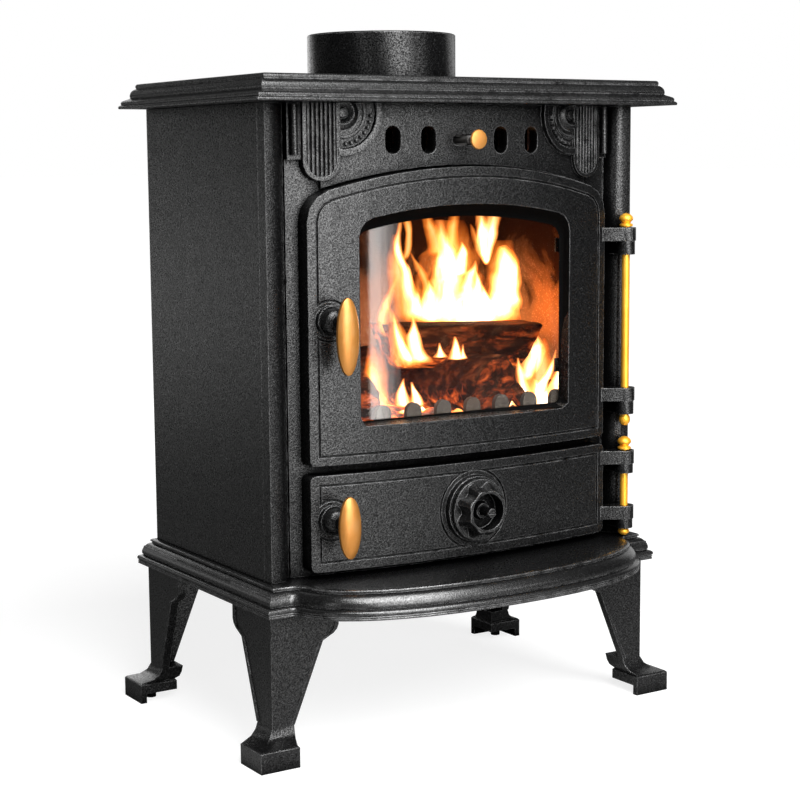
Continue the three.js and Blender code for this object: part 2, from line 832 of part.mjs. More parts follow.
function latchCam(z) {
  const blade = prismY([
    point(handleX + camHalfWidth, z), point(handleX + camHalfWidth, z + camReach - camHalfWidth / 2),
    point(handleX + camHalfWidth / 2, z + camReach), point(handleX - camHalfWidth / 2, z + camReach),
    point(handleX - camHalfWidth, z + camReach - camHalfWidth / 2), point(handleX - camHalfWidth, z),
  ], camFront, camBack);
  const hub = rodY(handleX, z, camHubRadius, camFront, camBack + camHubLength, roundSteps);
  const bore = rodY(handleX, z, handleTipRadius + gap, camFront - overrun, camFront + handleTipLength + gap,
    roundSteps);
  return cut(blade.add(hub), bore);
}

// Oval brass knob, its round back towards the door
function ovalKnob(z, below, above) {
  const height = (below + above) / 2;
  const shape = new THREE.SphereGeometry(1, roundSteps, roundSteps / 2);
  shape.scale(knobHalfWidth, knobHalfDepth, height);
  return toSolid(shape.translate(handleX, knobBack - knobHalfDepth, z + (above - below) / 2));
}

function wheelSpindle() {
  const tip = wheelDiscBack - wheelHubLength - spindleStickOut;
  const headFront = doorSkinApex + gap;
  const bolt = rodY(0, wheelZ, spindleRadius, tip, headFront + gap, roundSteps)
    .add(rodY(0, wheelZ, spindleHeadRadius, headFront, headFront + spindleHead, hexSides));
  const slot = prismY(rectangle(-overrun, overrun, wheelZ - spindleSlot / 2, wheelZ + spindleSlot / 2),
    tip - overrun, tip + spindleSlot);
  return bolt.subtract(slot);
}

function wheelWasher() {
  const back = wheelPadFront - gap / 2;
  return prismY(circle(0, wheelZ, washerRadius - gap), back - washerThickness + gap / 2, back,
    [circle(0, wheelZ, spindleRadius + runningGap)]);
}

function lobedOutline(radius, dip) {
  const steps = wheelLobes * wheelLobeSteps;
  return Array.from({ length: steps }, (_, i) => {
    const angle = (fullTurn * i) / steps;
    const wave = Math.tanh(wheelLobeSharpness * Math.cos(wheelLobes * angle));
    const reach = radius - (dip / 2) * (1 + wave / Math.tanh(wheelLobeSharpness));
    return point(reach * Math.cos(angle), wheelZ + reach * Math.sin(angle));
  });
}

function spinWheel() {
  const back = wheelDiscBack - gap / 2;
  const discFront = back - wheelDiscThickness;
  const disc = prismY(circle(0, wheelZ, wheelDiscRadius, fineRoundSteps), discFront, back);
  const crownFront = discFront - wheelCrownHeight;
  const crown = loft([
    { outline: lobedOutline(wheelLobeRadius, wheelLobeDip), at: discFront + gap },
    { outline: lobedOutline(wheelCrownRadius, wheelCrownDip), at: crownFront + wheelCrownRound },
    { outline: lobedOutline(wheelCrownRadius - wheelCrownRound, wheelCrownDip / 2), at: crownFront },
  ], (x, z, y) => [x, y, z]);
  const bowl = rodY(0, wheelZ, wheelBowlRadius, crownFront - overrun, discFront, fineRoundSteps);
  const hub = turnedY([
    [0, 0], [wheelHubFoot, 0], [wheelHubRadius, wheelHubLength - wheelDiscThickness],
    [0, wheelHubLength - wheelDiscThickness],
  ], 0, discFront + gap, wheelZ);
  const bore = rodY(0, wheelZ, spindleRadius + runningGap, frontLimit, back + overrun, roundSteps);
  return cut(joined(disc, cut(crown, bowl), hub), bore);
}

// Hinge pin: a rod with a turned finial on top and a round nut at the foot
function hingePin(earTop, knuckleLow, nutHeight) {
  const nutLow = knuckleLow - gap - nutHeight;
  const rodLow = nutLow + nutHeight / 2;
  const finialLow = earTop + gap;
  const finial = finialShares.map(([r, h]) => [r * finialRadius, finialLow + h * finialHeight]);
  const nut = nutShares.map((r, i, all) => (
    [r * pinNutRadius, nutLow + (nutHeight * i) / (all.length - 1)]));
  return joined(
    turnedZ([[0, finialLow], ...finial], hingeX, hingeY, roundSteps),
    turnedZ([[0, nutLow], ...nut, [0, nutLow + nutHeight]], hingeX, hingeY, roundSteps),
    rodZ(hingeX, hingeY, pinRadius, rodLow, finialLow + gap, roundSteps),
  );
}

// Frame knuckle that an ear of a door rests on
function knuckle(top, height) {
  const low = top - height;
  const armHalf = knuckleRadius * knuckleArmShare;
  const arm = box(hingeX - armHalf, hingeX + armHalf, hingeY, bodyFront + sideReturn, low, top);
  return arm.add(rodZ(hingeX, hingeY, knuckleRadius, low, top, roundSteps));
}

// Corner of the frame, from the groove beside the plate to the return along the side
function frameCorner(side) {
  const plateEdge = frameFace(frameHalfWidth);
  const grooveFloor = plateEdge + cornerGrooveDepth;
  const rollStart = frameHalfWidth + cornerGroove;
  const flatStart = bodyHalfWidth - cornerFlat;
  const roll = new THREE.QuadraticBezierCurve(
    point(rollStart, grooveFloor), point(flatStart - cornerRollPull, bodyFront), point(flatStart, bodyFront),
  ).getPoints(arcSteps);
  const inside = bodyHalfWidth - castWall - gap;
  const tuck = frameHalfWidth - grooveWidth;
  const outline = [
    point(bodyHalfWidth, bodyFront), point(bodyHalfWidth, bodyFront + sideReturn),
    point(inside, bodyFront + sideReturn), point(inside, bodyFront + cornerDepth),
    point(tuck, bodyFront + cornerDepth), point(tuck, grooveFloor), ...roll,
  ];
  const turned = outline.map((p) => point(side * p.x, p.y));
  return prismZ(side > 0 ? turned : turned.reverse(), bodyLow, bodyHigh);
}

function slotOutline(x, halfWidth, halfHeight, radius) {
  return roundedRectangle(x - halfWidth, x + halfWidth, slotZ - halfHeight, slotZ + halfHeight, radius);
}

function frameSlots() {
  const places = slotPlaces.flatMap((x) => [-x, x]);
  return [
    ...places.map((x) => prismY(slotOutline(x, slotHalfWidth, slotHalfHeight, slotHalfWidth - gap),
      frontLimit, backLimit)),
    prismY(slotOutline(0, stemSlotHalfLength, stemSlotHalfHeight, stemSlotHalfHeight - gap),
      frontLimit, backLimit),
  ];
}

// Raised band across the top of the frame, stepping down to the door's arch in the middle
function frieze() {
  const outline = [
    point(-friezeInnerHalf, mainDoorHigh - mainShoulder), point(friezeInnerHalf, mainDoorHigh - mainShoulder),
    point(friezeInnerHalf, friezeLow), point(frameHalfWidth, friezeLow), point(frameHalfWidth, bodyHigh),
    point(-frameHalfWidth, bodyHigh), point(-frameHalfWidth, friezeLow), point(-friezeInnerHalf, friezeLow),
  ];
  return bowSlab(friezeApex, frameApex + framePlate / 2, bodyLow, bodyHigh)
    .intersect(prismY(outline, frontLimit, backLimit))
    .subtract(prismY(mainOutline(-friezeDoorGap), frontLimit, backLimit));
}

// Tab with a half-round foot: a plain border round a field of upright reeds
function reededTab(side) {
  const half = (tabOuter - tabInner) / 2;
  const centre = side * (tabInner + half);
  const outline = (inset) => prismY([
    ...arc(centre, tabLow + half, half - inset, -2 * quarterTurn, 0, 2 * arcSteps),
    point(centre + half - inset, bodyHigh), point(centre - half + inset, bodyHigh),
  ], frontLimit, backLimit);
  const front = friezeApex - tabProud;
  const slab = bowSlab(front, frameApex + framePlate / 2, bodyLow, bodyHigh);
  const field = outline(reedBorder);
  const border = slab.intersect(outline(0)).subtract(field);
  const width = 2 * (half - reedBorder) + 2 * gap;
  const steps = reedCount * arcSteps / 2;
  const scallops = Array.from({ length: steps + 1 }, (_, i) => {
    const x = centre + width * (i / steps - 1 / 2);
    const swell = Math.sqrt(Math.abs(Math.sin((Math.PI * reedCount * i) / steps)));
    return point(x, bowDepth(x, front) + reedDepth * (1 - swell));
  });
  const back = frameFace(tabOuter) + framePlate / 2;
  const ends = [point(centre + width / 2, back), point(centre - width / 2, back)];
  const reeds = prismZ([...scallops, ...ends], tabLow, bodyHigh).intersect(field);
  return border.add(reeds);
}

// Quarter rosette with a beaded ring, tucked beside the tab
function rosette(side) {
  const slope = Math.asin((side * rosetteX) / (bowCentre - friezeApex));
  const profile = [
    [0, -rosetteProud], ...rosetteShares.map(([r, h]) => [r * rosetteRadius, h * rosetteProud]).reverse(),
  ];
  profile.splice(1, 0, [rosetteRadius, -rosetteProud]);
  const forms = [turnedGeometry(profile, 4 * arcSteps), ...beads(side)].map((geometry) => (
    toSolid(geometry.rotateX(quarterTurn).rotateZ(slope)
      .translate(side * rosetteX, bowDepth(rosetteX, friezeApex), rosetteZ))));
  const [low, high] = [side * (rosetteX - 2 * rosetteRadius), side * (tabInner + reedBorder / 2)]
    .sort((a, b) => a - b);
  return joined(forms).intersect(box(low, high, frontLimit, backLimit, 0, bodyHigh));
}

function beads(side) {
  return Array.from({ length: beadCount }, (_, i) => {
    const angle = (quarterTurn * (i + beadFirst)) / beadCount;
    const bead = new THREE.SphereGeometry(beadRadius, arcSteps, arcSteps / 2);
    const across = -side * beadCircle * Math.cos(angle);
    return bead.translate(across, -beadCircle * Math.sin(angle), rosetteProud / 2);
  });
}

// Round bar that ends the frieze beside the corner
function endBar(side) {
  const x = side * barX;
  const axis = bowDepth(x, friezeApex - barProud) + barRadius;
  return rodZ(x, axis, barRadius, barLow, bodyHigh - barTopGap, 2 * arcSteps)
    .add(box(x - barRadius / 2, x + barRadius / 2, axis, frameFace(x) + framePlate / 2, barLow,
      bodyHigh - barTopGap));
}

const padBack = frameBackApex + sliderPadBehind;
const sliderFront = padBack + gap;
const sliderBack = sliderFront + sliderThickness;
const railBack = sliderBack + gap;
const padHalfHeight = sliderHalfHeight + sliderPadMargin;

function sliderPad(front, back) {
  return box(-sliderPadHalf, sliderPadHalf, front, back, slotZ - padHalfHeight, slotZ + padHalfHeight);
}

// Rails above and below the slider, behind the flat pad
function sliderRails() {
  const start = sliderHalfHeight + gap;
  return [-1, 1].map((way) => {
    const [low, high] = [slotZ + way * start, slotZ + way * (start + sliderRail)].sort((a, b) => a - b);
    return box(-sliderPadHalf, sliderPadHalf, padBack - gap, railBack, low, high);
  });
}

const mainOpening = mainOutline(mainOverlap);
const ashOpening = ashOutline(ashOverlap);
const openingLow = mainDoorLow + mainOverlap;

function frontFrame() {
  const plate = bowSlab(frameApex, frameBackApex, bodyLow, bodyHigh);
  const ledge = box(-guardHalfWidth, guardHalfWidth, frameFace(guardHalfWidth) + gap, guardBackLimit(),
    openingLow - ledgeHeight, openingLow);
  const knuckles = [
    knuckle(mainUpperEarLow - gap, mainKnuckleHeight), knuckle(mainLowerEarLow - gap, mainKnuckleHeight),
    knuckle(ashUpperEarLow - gap, ashKnuckleHeight), knuckle(ashLowerEarLow - gap, ashKnuckleHeight),
  ];
  const front = joined(
    plate, frieze(), sliderPad(frameFace(sliderPadHalf) + gap, padBack), endBar(-1), endBar(1),
    rosette(-1), rosette(1), reededTab(-1), reededTab(1),
  );
  const pocketed = cut(front, sliderPad(padBack, backLimit));
  const whole = joined(pocketed, sliderRails(), frameCorner(-1), frameCorner(1), ledge, knuckles);
  return cut(whole, prismY(mainOpening, frontLimit, backLimit), prismY(ashOpening, frontLimit, backLimit),
    frameSlots(), pinBore(ashLowerEarLow, mainUpperEarLow));
}

function airSlider() {
  const plate = prismY(rectangle(-sliderHalfLength, sliderHalfLength, slotZ - sliderHalfHeight,
    slotZ + sliderHalfHeight), sliderFront, sliderBack, slotPlaces.flatMap((x) => [-x, x]).map((x) => (
    slotOutline(x + sliderOffset, slotHalfWidth, slotHalfHeight, slotHalfWidth - gap))));
  const collarFront = friezeApex - sliderReach / 2;
  return joined(
    plate,
    rodY(0, slotZ, sliderStemRadius, friezeApex - sliderReach, sliderFront + gap, roundSteps),
    rodY(0, slotZ, sliderCollarRadius, collarFront, collarFront + sliderCollarRadius, roundSteps),
  );
}

function sliderKnob() {
  const back = friezeApex - sliderReach - gap;
  return turnedY(knobShares.map(([r, h]) => [r * sliderKnobRadius, h * sliderKnobDepth]), 0, back, slotZ);
}

function sliderKeeper(side) {
  const x = side * keeperX;
  const front = railBack + gap;
  const plate = box(x - keeperHalfWidth, x + keeperHalfWidth, front, front + keeperThickness,
    slotZ - padHalfHeight, slotZ + padHalfHeight);
  const heads = [-1, 1].map((way) => rodY(x, slotZ + way * (sliderHalfHeight + sliderRail / 2),
    keeperHeadRadius, railBack + keeperThickness, railBack + gap + 2 * keeperThickness));
  return joined(plate, heads);
}

// Top plate: stepped edge, hollow below, with a hole for the collar
function topPlate() {
  const outline = rectangle(-topHalfWidth, topHalfWidth, bodyFront - topFrontLap, bodyBack + topBackLap);
  const plate = moulding(outline, topMouldShares, topMouldInset, topLow, topHeight);
  const inside = bodyHalfWidth - rimInside;
  const skinLow = topFace - topSkin;
  const hollow = box(-inside, inside, bodyFront + cornerDepth, bodyBack - rimInside,
    topLow - overrun, skinLow);
  const bosses = rodPlaces().map(([x, y]) => rodZ(x, y, rodBossRadius, topLow, skinLow + gap, roundSteps));
  const low = topLow - overrun;
  const bores = rodPlaces().map(([x, y]) => rodZ(x, y, rodRadius + gap, low, topLow + rodBossDepth));
  const collarHole = rodZ(0, collarY, collarRadius + gap, low, topFace + overrun, 2 * roundSteps);
  const boltTop = topFace - boltRadius;
  const boltHoles = collarBoltPlaces().map(([x, y]) => rodZ(x, y, boltRadius + gap, low, boltTop));
  return cut(joined(cut(plate, hollow), bosses), bores, collarHole, boltHoles);
}

const flangeTop = topFace - topSkin - gap;
const flangeLow = flangeTop - collarFlangeThickness;

function flueCollar() {
  const top = topFace + collarHeight;
  const ring = toSolid(turnedGeometry([
    [collarBore, flangeLow], [collarFlange, flangeLow], [collarFlange, flangeTop],
    [collarRadius, flangeTop], [collarRadius, top - collarLip], [collarRadius - collarLip, top],
    [collarBore + collarLip, top], [collarBore, top - collarLip], [collarBore, flangeLow],
  ], 2 * roundSteps).translate(0, collarY, 0));
  const holes = collarBoltPlaces().map(([x, y]) => rodZ(x, y, boltRadius + gap, flangeLow - overrun,
    flangeTop + overrun));
  return cut(ring, holes);
}

function collarBoltPlaces() {
  return Array.from({ length: collarBoltCount }, (_, i) => {
    const angle = quarterTurn + (fullTurn * i) / collarBoltCount;
    return [collarBoltCircle * Math.cos(angle), collarY + collarBoltCircle * Math.sin(angle)];
  });
}

// Upright bolt with its hexagon head at the bottom
function boltZ(x, y, radius, headRadius, headHeight, seat, tip) {
  const head = prismZ(circle(x, y, headRadius, hexSides), seat - headHeight, seat);
  return head.add(rodZ(x, y, radius, seat - gap, tip));
}

function rodPlaces() {
  return [[-rodX, rodFrontY], [rodX, rodFrontY], [-rodX, rodBackY], [rodX, rodBackY]];
}

// Outline of the base plate: a rectangle with a bowed lip in front
function baseOutline() {
  const front = bodyFront - baseFrontLap;
  const back = bodyBack + baseBackLap;
  const filletSteps = arcSteps / 2;
  const startAngle = Math.asin(lipFillet / lipDepth);
  const lip = Array.from({ length: lipSteps + 1 }, (_, i) => {
    const angle = startAngle + ((2 * quarterTurn - 2 * startAngle) * i) / lipSteps;
    const across = Math.abs(Math.cos(angle)) ** (2 / lipPower) * Math.sign(-Math.cos(angle));
    return point(lipHalfWidth * across, front - lipDepth * Math.sin(angle));
  });
  const turn = lipHalfWidth + lipFillet;
  return [
    point(-baseHalfWidth, front),
    ...arc(-turn, front - lipFillet, lipFillet, quarterTurn, 0, filletSteps).slice(0, -1),
    ...lip,
    ...arc(turn, front - lipFillet, lipFillet, 2 * quarterTurn, quarterTurn, filletSteps).slice(1),
    point(baseHalfWidth, front), point(baseHalfWidth, back), point(-baseHalfWidth, back),
  ];
}

const padSink = baseTop - baseSkin;
const panRailTop = ashDoorLow + ashOverlap;

function basePlate() {
  const outline = baseOutline();
  const plate = moulding(outline, baseMouldShares, baseMouldInset, legHeight, baseHeight);
  const hollow = prismZ(insetOutline(outline, baseRim), legHeight - overrun, padSink);
  const front = bodyFront - baseFrontLap;
  const back = bodyBack + baseBackLap;
  const padReachX = legInsetX + legWebWidth + cornerPadMargin;
  const padReachY = legInsetY + legWebSideWidth + cornerPadMargin;
  const pads = [-1, 1].flatMap((side) => {
    const [low, high] = [side * (baseHalfWidth - padReachX), side * (baseHalfWidth - baseRim / 2)]
      .sort((a, b) => a - b);
    return [
      box(low, high, front + baseRim / 2, front + padReachY, legHeight, padSink + gap),
      box(low, high, back - padReachY, back - baseRim / 2, legHeight, padSink + gap),
    ];
  });
  const rails = [-panRailX, panRailX].map((x) => box(x - panRailHalf, x + panRailHalf,
    panFront, panBack, baseTop - gap, panRailTop));
  const rodBores = rodPlaces().flatMap(([x, y]) => [
    rodZ(x, y, rodRadius + gap, legHeight - overrun, baseTop + overrun),
    rodZ(x, y, rodSinkRadius, legHeight - overrun, legHeight + rodHeadHeight + 2 * gap),
  ]);
  const boltBores = legPlaces().map(({ boltX, boltY }) => rodZ(boltX, boltY, legBoltRadius + gap,
    legHeight - overrun, legHeight + legBoltGrip));
  return cut(joined(cut(plate, hollow), pads, rails), rodBores, boltBores);
}

// Corner of each leg, the way its webs run and the place of its bolt
function legPlaces() {
  const front = bodyFront - baseFrontLap;
  const back = bodyBack + baseBackLap;
  const list = [
    ["front_left", -1, -1], ["front_right", 1, -1], ["rear_left", -1, 1], ["rear_right", 1, 1],
  ];
  return list.map(([name, sideX, sideY]) => {
    const cornerX = sideX * (baseHalfWidth - legInsetX);
    const cornerY = sideY < 0 ? front + legInsetY : back - legInsetY;
    return {
      name, sideX, sideY, cornerX, cornerY,
      boltX: cornerX - sideX * (legWebWidth - legBoltInset),
      boltY: cornerY - sideY * (legWebSideWidth - legBoltInset),
    };
  });
}

// Face of a leg's web: distance in from the outer corner against height
function legWebOutline(width, neck, rise = 0) {
  const top = legHeight - gap;
  const bottom = footHeight + neckHeight;
  const drop = top - bottom;
  const inner = legInnerShares.map(([across, down]) => point(across * width - rise, top - down * drop));
  return [point(0, bottom), point(neck - rise, bottom), ...inner.reverse(), point(0, top)];
}

function leg({ sideX, sideY, cornerX, cornerY }) {
  const top = legHeight - gap;
  const toX = (u) => cornerX - sideX * u;
  const toY = (u) => cornerY - sideY * u;
  const span = (place, from, to) => [place(from), place(to)].sort((a, b) => a - b);
  const faceX = (width, neck, rise, from, to) => {
    const outline = legWebOutline(width, neck, rise).map((p) => point(toX(p.x), p.y));
    return prismY(sideX > 0 ? outline.reverse() : outline, ...span(toY, from, to));
  };
  const faceY = (width, neck, rise, from, to) => {
    const outline = legWebOutline(width, neck, rise).map((p) => point(toY(p.x), p.y));
    return prismX(sideY > 0 ? outline.reverse() : outline, ...span(toX, from, to));
  };
  const webs = [
    faceX(legWebWidth, legNeckX, 0, 0, legWeb), faceY(legWebSideWidth, legNeckY, 0, 0, legWeb),
  ];
  const beads = [
    cut(faceX(legWebWidth, legNeckX, 0, -legEdgeBead, legWeb / 2),
      faceX(legWebWidth, legNeckX, legBeadWidth, -overrun, overrun)),
    cut(faceY(legWebSideWidth, legNeckY, 0, -legEdgeBead, legWeb / 2),
      faceY(legWebSideWidth, legNeckY, legBeadWidth, -overrun, overrun)),
  ];
  const flange = box(...span(toX, legWeb / 2, legWebWidth), ...span(toY, legWeb / 2, legWebSideWidth),
    top - legFlange, top);
  const neck = loft(neckShares.map(([share, up]) => {
    const outX = footOutX * (1 - share) - footShoulder * (1 - share);
    const outY = footOutY * (1 - share) - footShoulder * (1 - share);
    const inX = legNeckX + (footSize - footOutX - legNeckX - footShoulder) * (1 - share);
    const inY = legNeckY + (footSize - footOutY - legNeckY - footShoulder) * (1 - share);
    return {
      outline: rectangle(...span(toX, -outX, inX), ...span(toY, -outY, inY)),
      at: footHeight + up * neckHeight,
    };
  }), (x, y, z) => [x, y, z]);
  const footX = span(toX, -footOutX, footSize - footOutX);
  const footY = span(toY, -footOutY, footSize - footOutY);
  const block = loft([
    { outline: rectangle(...footX, ...footY), at: 0 },
    { outline: rectangle(...footX, ...footY), at: footHeight - footShoulder },
    { outline: insetOutline(rectangle(...footX, ...footY), footShoulder), at: footHeight },
  ], (x, y, z) => [x, y, z]);
  const roof = footHeight - footWall;
  const hollow = prismZ(insetOutline(rectangle(...footX, ...footY), footWall), -overrun, roof);
  const inner = (place, out) => span(place, footWall - out, footSize - out + overrun);
  const arch = box(...inner(toX, footOutX), ...inner(toY, footOutY), -overrun, footArchHeight);
  const nub = rodZ((footX[0] + footX[1]) / 2, (footY[0] + footY[1]) / 2, footNubRadius, 0,
    roof + gap);
  const bolt = legPlaces().find((place) => place.cornerX === cornerX && place.cornerY === cornerY);
  const bore = rodZ(bolt.boltX, bolt.boltY, legBoltRadius + gap, top - overrun, top + overrun);
  const shank = joined(webs, beads, flange);
  return joined(cut(shank, bore), neck, cut(block, hollow, arch), nub);
}

// Side casting with a ledge inside for the lining and the grate
function sidePanel(side) {
  const inside = bodyHalfWidth - castWall;
  const [low, high] = [side * inside, side * bodyHalfWidth].sort((a, b) => a - b);
  const [ledgeIn, ledgeOut] = [side * (inside - ledgeReach), side * (inside + gap)].sort((a, b) => a - b);
  return joined(
    box(low, high, bodyFront + sideReturn + gap, bodyBack, bodyLow, bodyHigh),
    box(ledgeIn, ledgeOut, -brickHalfLength, brickHalfLength, ledgeLow, ledgeLow + ledgeHeight),
  );
}

const lining = bodyHalfWidth - castWall - gap;
const ledgeTop = ledgeLow + ledgeHeight + gap;
const backInside = bodyBack - castWall - gap;

function backPanel() {
  const plate = box(-lining, lining, bodyBack - castWall, bodyBack, bodyLow, bodyHigh);
  const across = lining - backBorder;
  const field = prismY(roundedRectangle(-across, across, bodyLow + backBorder, bodyHigh - backBorder,
    backBorder / 2), bodyBack - backFieldDepth, bodyBack + overrun);
  const seat = rodY(0, rearCoverZ, rearCoverRadius + rearCoverLug + castWall, bodyBack - castWall, bodyBack,
    2 * roundSteps);
  const outlet = rodY(0, rearCoverZ, rearOutletRadius, backLimit, bodyBack + overrun, 2 * roundSteps);
  const bores = rearBoltPlaces().map(([x, z]) => rodY(x, z, boltRadius + gap, 0, bodyBack + overrun));
  return cut(joined(cut(plate, field), seat), outlet, bores);
}

function rearBoltPlaces() {
  return [[-rearCoverRadius, rearCoverZ], [rearCoverRadius, rearCoverZ]];
}

function rearCover() {
  const front = bodyBack + gap;
  const disc = rodY(0, rearCoverZ, rearCoverRadius, front, front + rearCoverThickness, 2 * roundSteps);
  const lugs = rearBoltPlaces().map(([x, z]) => rodY(x, z, rearCoverLug, front, front + rearCoverThickness,
    roundSteps));
  const bores = rearBoltPlaces().map(([x, z]) => rodY(x, z, boltRadius + gap, 0, bodyBack + overrun));
  return cut(joined(disc, lugs), bores);
}

function rearCoverBolt(x, z) {
  const seat = bodyBack + 2 * gap + rearCoverThickness;
  return rodY(x, z, boltRadius, bodyBack - castWall, seat + gap)
    .add(rodY(x, z, boltHeadRadius, seat, seat + boltHeadHeight, hexSides));
}

function sideBrick(side) {
  const [low, high] = [side * (lining - brickThickness), side * lining].sort((a, b) => a - b);
  return box(low, high, -brickHalfLength, brickHalfLength, ledgeTop, brickTop);
}

const rearBrickHalf = rodX - rodRadius - castWall;

function rearBrick() {
  return box(-rearBrickHalf, rearBrickHalf, brickHalfLength + gap, backInside, ledgeTop, brickTop);
}

function grate() {
  const half = lining - brickThickness - gap;
  const front = bodyFront + cornerDepth + grateFrontGap;
  const back = brickHalfLength;
  const holes = Array.from({ length: grateSlots }, (_, i) => {
    const x = (i - (grateSlots - 1) / 2) * ((2 * (half - grateBorder)) / grateSlots);
    return roundedRectangle(x - grateSlotHalf, x + grateSlotHalf, front + grateBorder, back - grateBorder,
      grateSlotHalf - gap, arcSteps / 4);
  });
  return prismZ(rectangle(-half, half, front, back), ledgeTop, ledgeTop + grateThickness, holes);
}

function guardFrontDepth() {
  return bodyFront + guardFront;
}

function guardBackLimit() {
  return guardFrontDepth() + guardThickness + guardLedge / 2;
}

// Guard in front of the fire: a low band with a row of round-topped fingers
function logGuard() {
  const front = guardFrontDepth();
  const low = openingLow + gap;
  const band = box(-guardHalfWidth, guardHalfWidth, front, front + guardThickness, low, low + guardBand);
  const fingers = Array.from({ length: guardFingers }, (_, i) => {
    const x = (i - (guardFingers - 1) / 2) * guardPitch;
    const outline = [
      point(x - guardFingerHalf, low + gap), point(x + guardFingerHalf, low + gap),
      ...arc(x, low + guardHeight - guardFingerHalf, guardFingerHalf, 0, 2 * quarterTurn),
    ];
    return prismY(outline, front, front + guardThickness);
  });
  return joined(band, fingers);
}

function bafflePlate() {
  return box(-lining + gap, lining - gap, baffleFront, rodBackY - rodRadius - castWall / 2, brickTop + gap,
    brickTop + gap + baffleThickness);
}

function ashPan() {
  const low = panRailTop + gap;
  const outer = rectangle(-panHalfWidth, panHalfWidth, panFront, panBack);
  const tray = loft([
    { outline: insetOutline(outer, panWall), at: low },
    { outline: outer, at: low + panHeight },
  ], (x, y, z) => [x, y, z]);
  const inner = loft([
    { outline: insetOutline(outer, 2 * panWall), at: low + panWall },
    { outline: insetOutline(outer, panWall), at: low + panHeight + panWall },
  ], (x, y, z) => [x, y, z]);
  const lip = box(-panGripHalf, panGripHalf, panFront - castWall, panFront + panWall,
    low + panHeight - panWall, low + panHeight);
  return joined(cut(tray, inner), lip);
}

// The whole stove
const stove = new THREE.Group();

function addPiece(name, look, solid) {
  const mesh = solid.getMesh();
  const geometry = new THREE.BufferGeometry();
  geometry.setAttribute("position", new THREE.Float32BufferAttribute(mesh.vertProperties, 3));
  geometry.setIndex(Array.from(mesh.triVerts));
  const piece = new THREE.Mesh(geometry, new THREE.MeshStandardMaterial(look));
  piece.name = name;
  stove.add(piece);
}

addPiece("top_plate", paint, topPlate());
addPiece("flue_collar", paint, flueCollar());
collarBoltPlaces().forEach(([x, y], i) => {
  const tip = topFace - 2 * boltRadius;
  const bolt = boltZ(x, y, boltRadius, boltHeadRadius, boltHeadHeight, flangeLow - gap, tip);
  addPiece(`collar_bolt_${i + 1}`, steel, bolt);
});
addPiece("base_plate", paint, basePlate());
addPiece("left_side_panel", paint, sidePanel(-1));
addPiece("right_side_panel", paint, sidePanel(1));
addPiece("back_panel", paint, backPanel());
addPiece("rear_cover", paint, rearCover());
rearBoltPlaces().forEach(([x, z], i) => addPiece(`rear_cover_bolt_${i + 1}`, steel, rearCoverBolt(x, z)));
addPiece("front_frame", paint, frontFrame());
legPlaces().forEach((place, i) => {
  addPiece(`${place.name}_leg`, paint, leg(place));
  const seat = legHeight - gap - legFlange - gap;
  const bolt = boltZ(place.boltX, place.boltY, legBoltRadius, legBoltHeadRadius, legBoltHead, seat,
    legHeight + legBoltGrip - gap);
  addPiece(`leg_bolt_${i + 1}`, steel, bolt);
});
rodPlaces().forEach(([x, y], i) => {
  const seat = legHeight + rodHeadHeight + gap;
  const tip = topLow + rodBossDepth - gap;
  addPiece(`tie_rod_${i + 1}`, steel, boltZ(x, y, rodRadius, rodHeadRadius, rodHeadHeight, seat, tip));
});
addPiece("left_firebrick", brickLook, sideBrick(-1));
addPiece("right_firebrick", brickLook, sideBrick(1));
addPiece("rear_firebrick", brickLook, rearBrick());
addPiece("baffle_plate", darkIron, bafflePlate());
addPiece("grate", darkIron, grate());
addPiece("log_guard", darkIron, logGuard());
addPiece("ash_pan", darkIron, ashPan());

addPiece("main_door", paint, mainDoor());
addPiece("door_glass", glassLook, doorGlass());
clipPlaces().forEach(([x, z], i) => {
  addPiece(`glass_clip_${i + 1}`, steel, glassClip(x, z));
  addPiece(`clip_screw_${i + 1}`, steel, clipScrew(x, z));
});
addPiece("main_door_seal", ropeLook, seal(mainOutline, mainWall, mainOverlap));
addPiece("main_handle_shaft", paint, handleShaft(mainHandleZ));
addPiece("main_latch_cam", steel, latchCam(mainHandleZ));
addPiece("main_handle_knob", brass, ovalKnob(mainHandleZ, mainKnobLow, mainKnobHigh));

addPiece("ash_door", paint, ashDoor());
addPiece("ash_door_seal", ropeLook, seal(ashOutline, ashWall, ashOverlap));
addPiece("ash_handle_shaft", paint, handleShaft(ashHandleZ));
addPiece("ash_latch_cam", steel, latchCam(ashHandleZ));
addPiece("ash_handle_knob", brass, ovalKnob(ashHandleZ, ashKnobLow, ashKnobHigh));
addPiece("wheel_spindle", steel, wheelSpindle());
addPiece("wheel_washer", steel, wheelWasher());
addPiece("spin_wheel", paint, spinWheel());

addPiece("air_slider", darkIron, airSlider());
addPiece("slider_knob", brass, sliderKnob());
addPiece("slider_keeper_left", steel, sliderKeeper(-1));
addPiece("slider_keeper_right", steel, sliderKeeper(1));

addPiece("main_hinge_pin", brass,
  hingePin(mainUpperEarLow + mainEarHeight, mainLowerEarLow - gap - mainKnuckleHeight, pinNutHeight));
addPiece("ash_hinge_pin", brass,
  hingePin(ashUpperEarLow + ashEarHeight, ashLowerEarLow - gap - ashKnuckleHeight, ashPinNutHeight));

// The floor rectangle that the lip and the feet span is centred on the origin.
const frontReach = bodyFront - baseFrontLap - lipDepth;
const backReach = bodyBack + baseBackLap - legInsetY + footOutY;
stove.position.y = -(frontReach + backReach) / 2;

export default stove;
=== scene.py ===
"""Cast iron stove: finishes, fire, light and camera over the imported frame."""
import math

import bmesh
import bpy
from mathutils import Matrix, Vector, noise


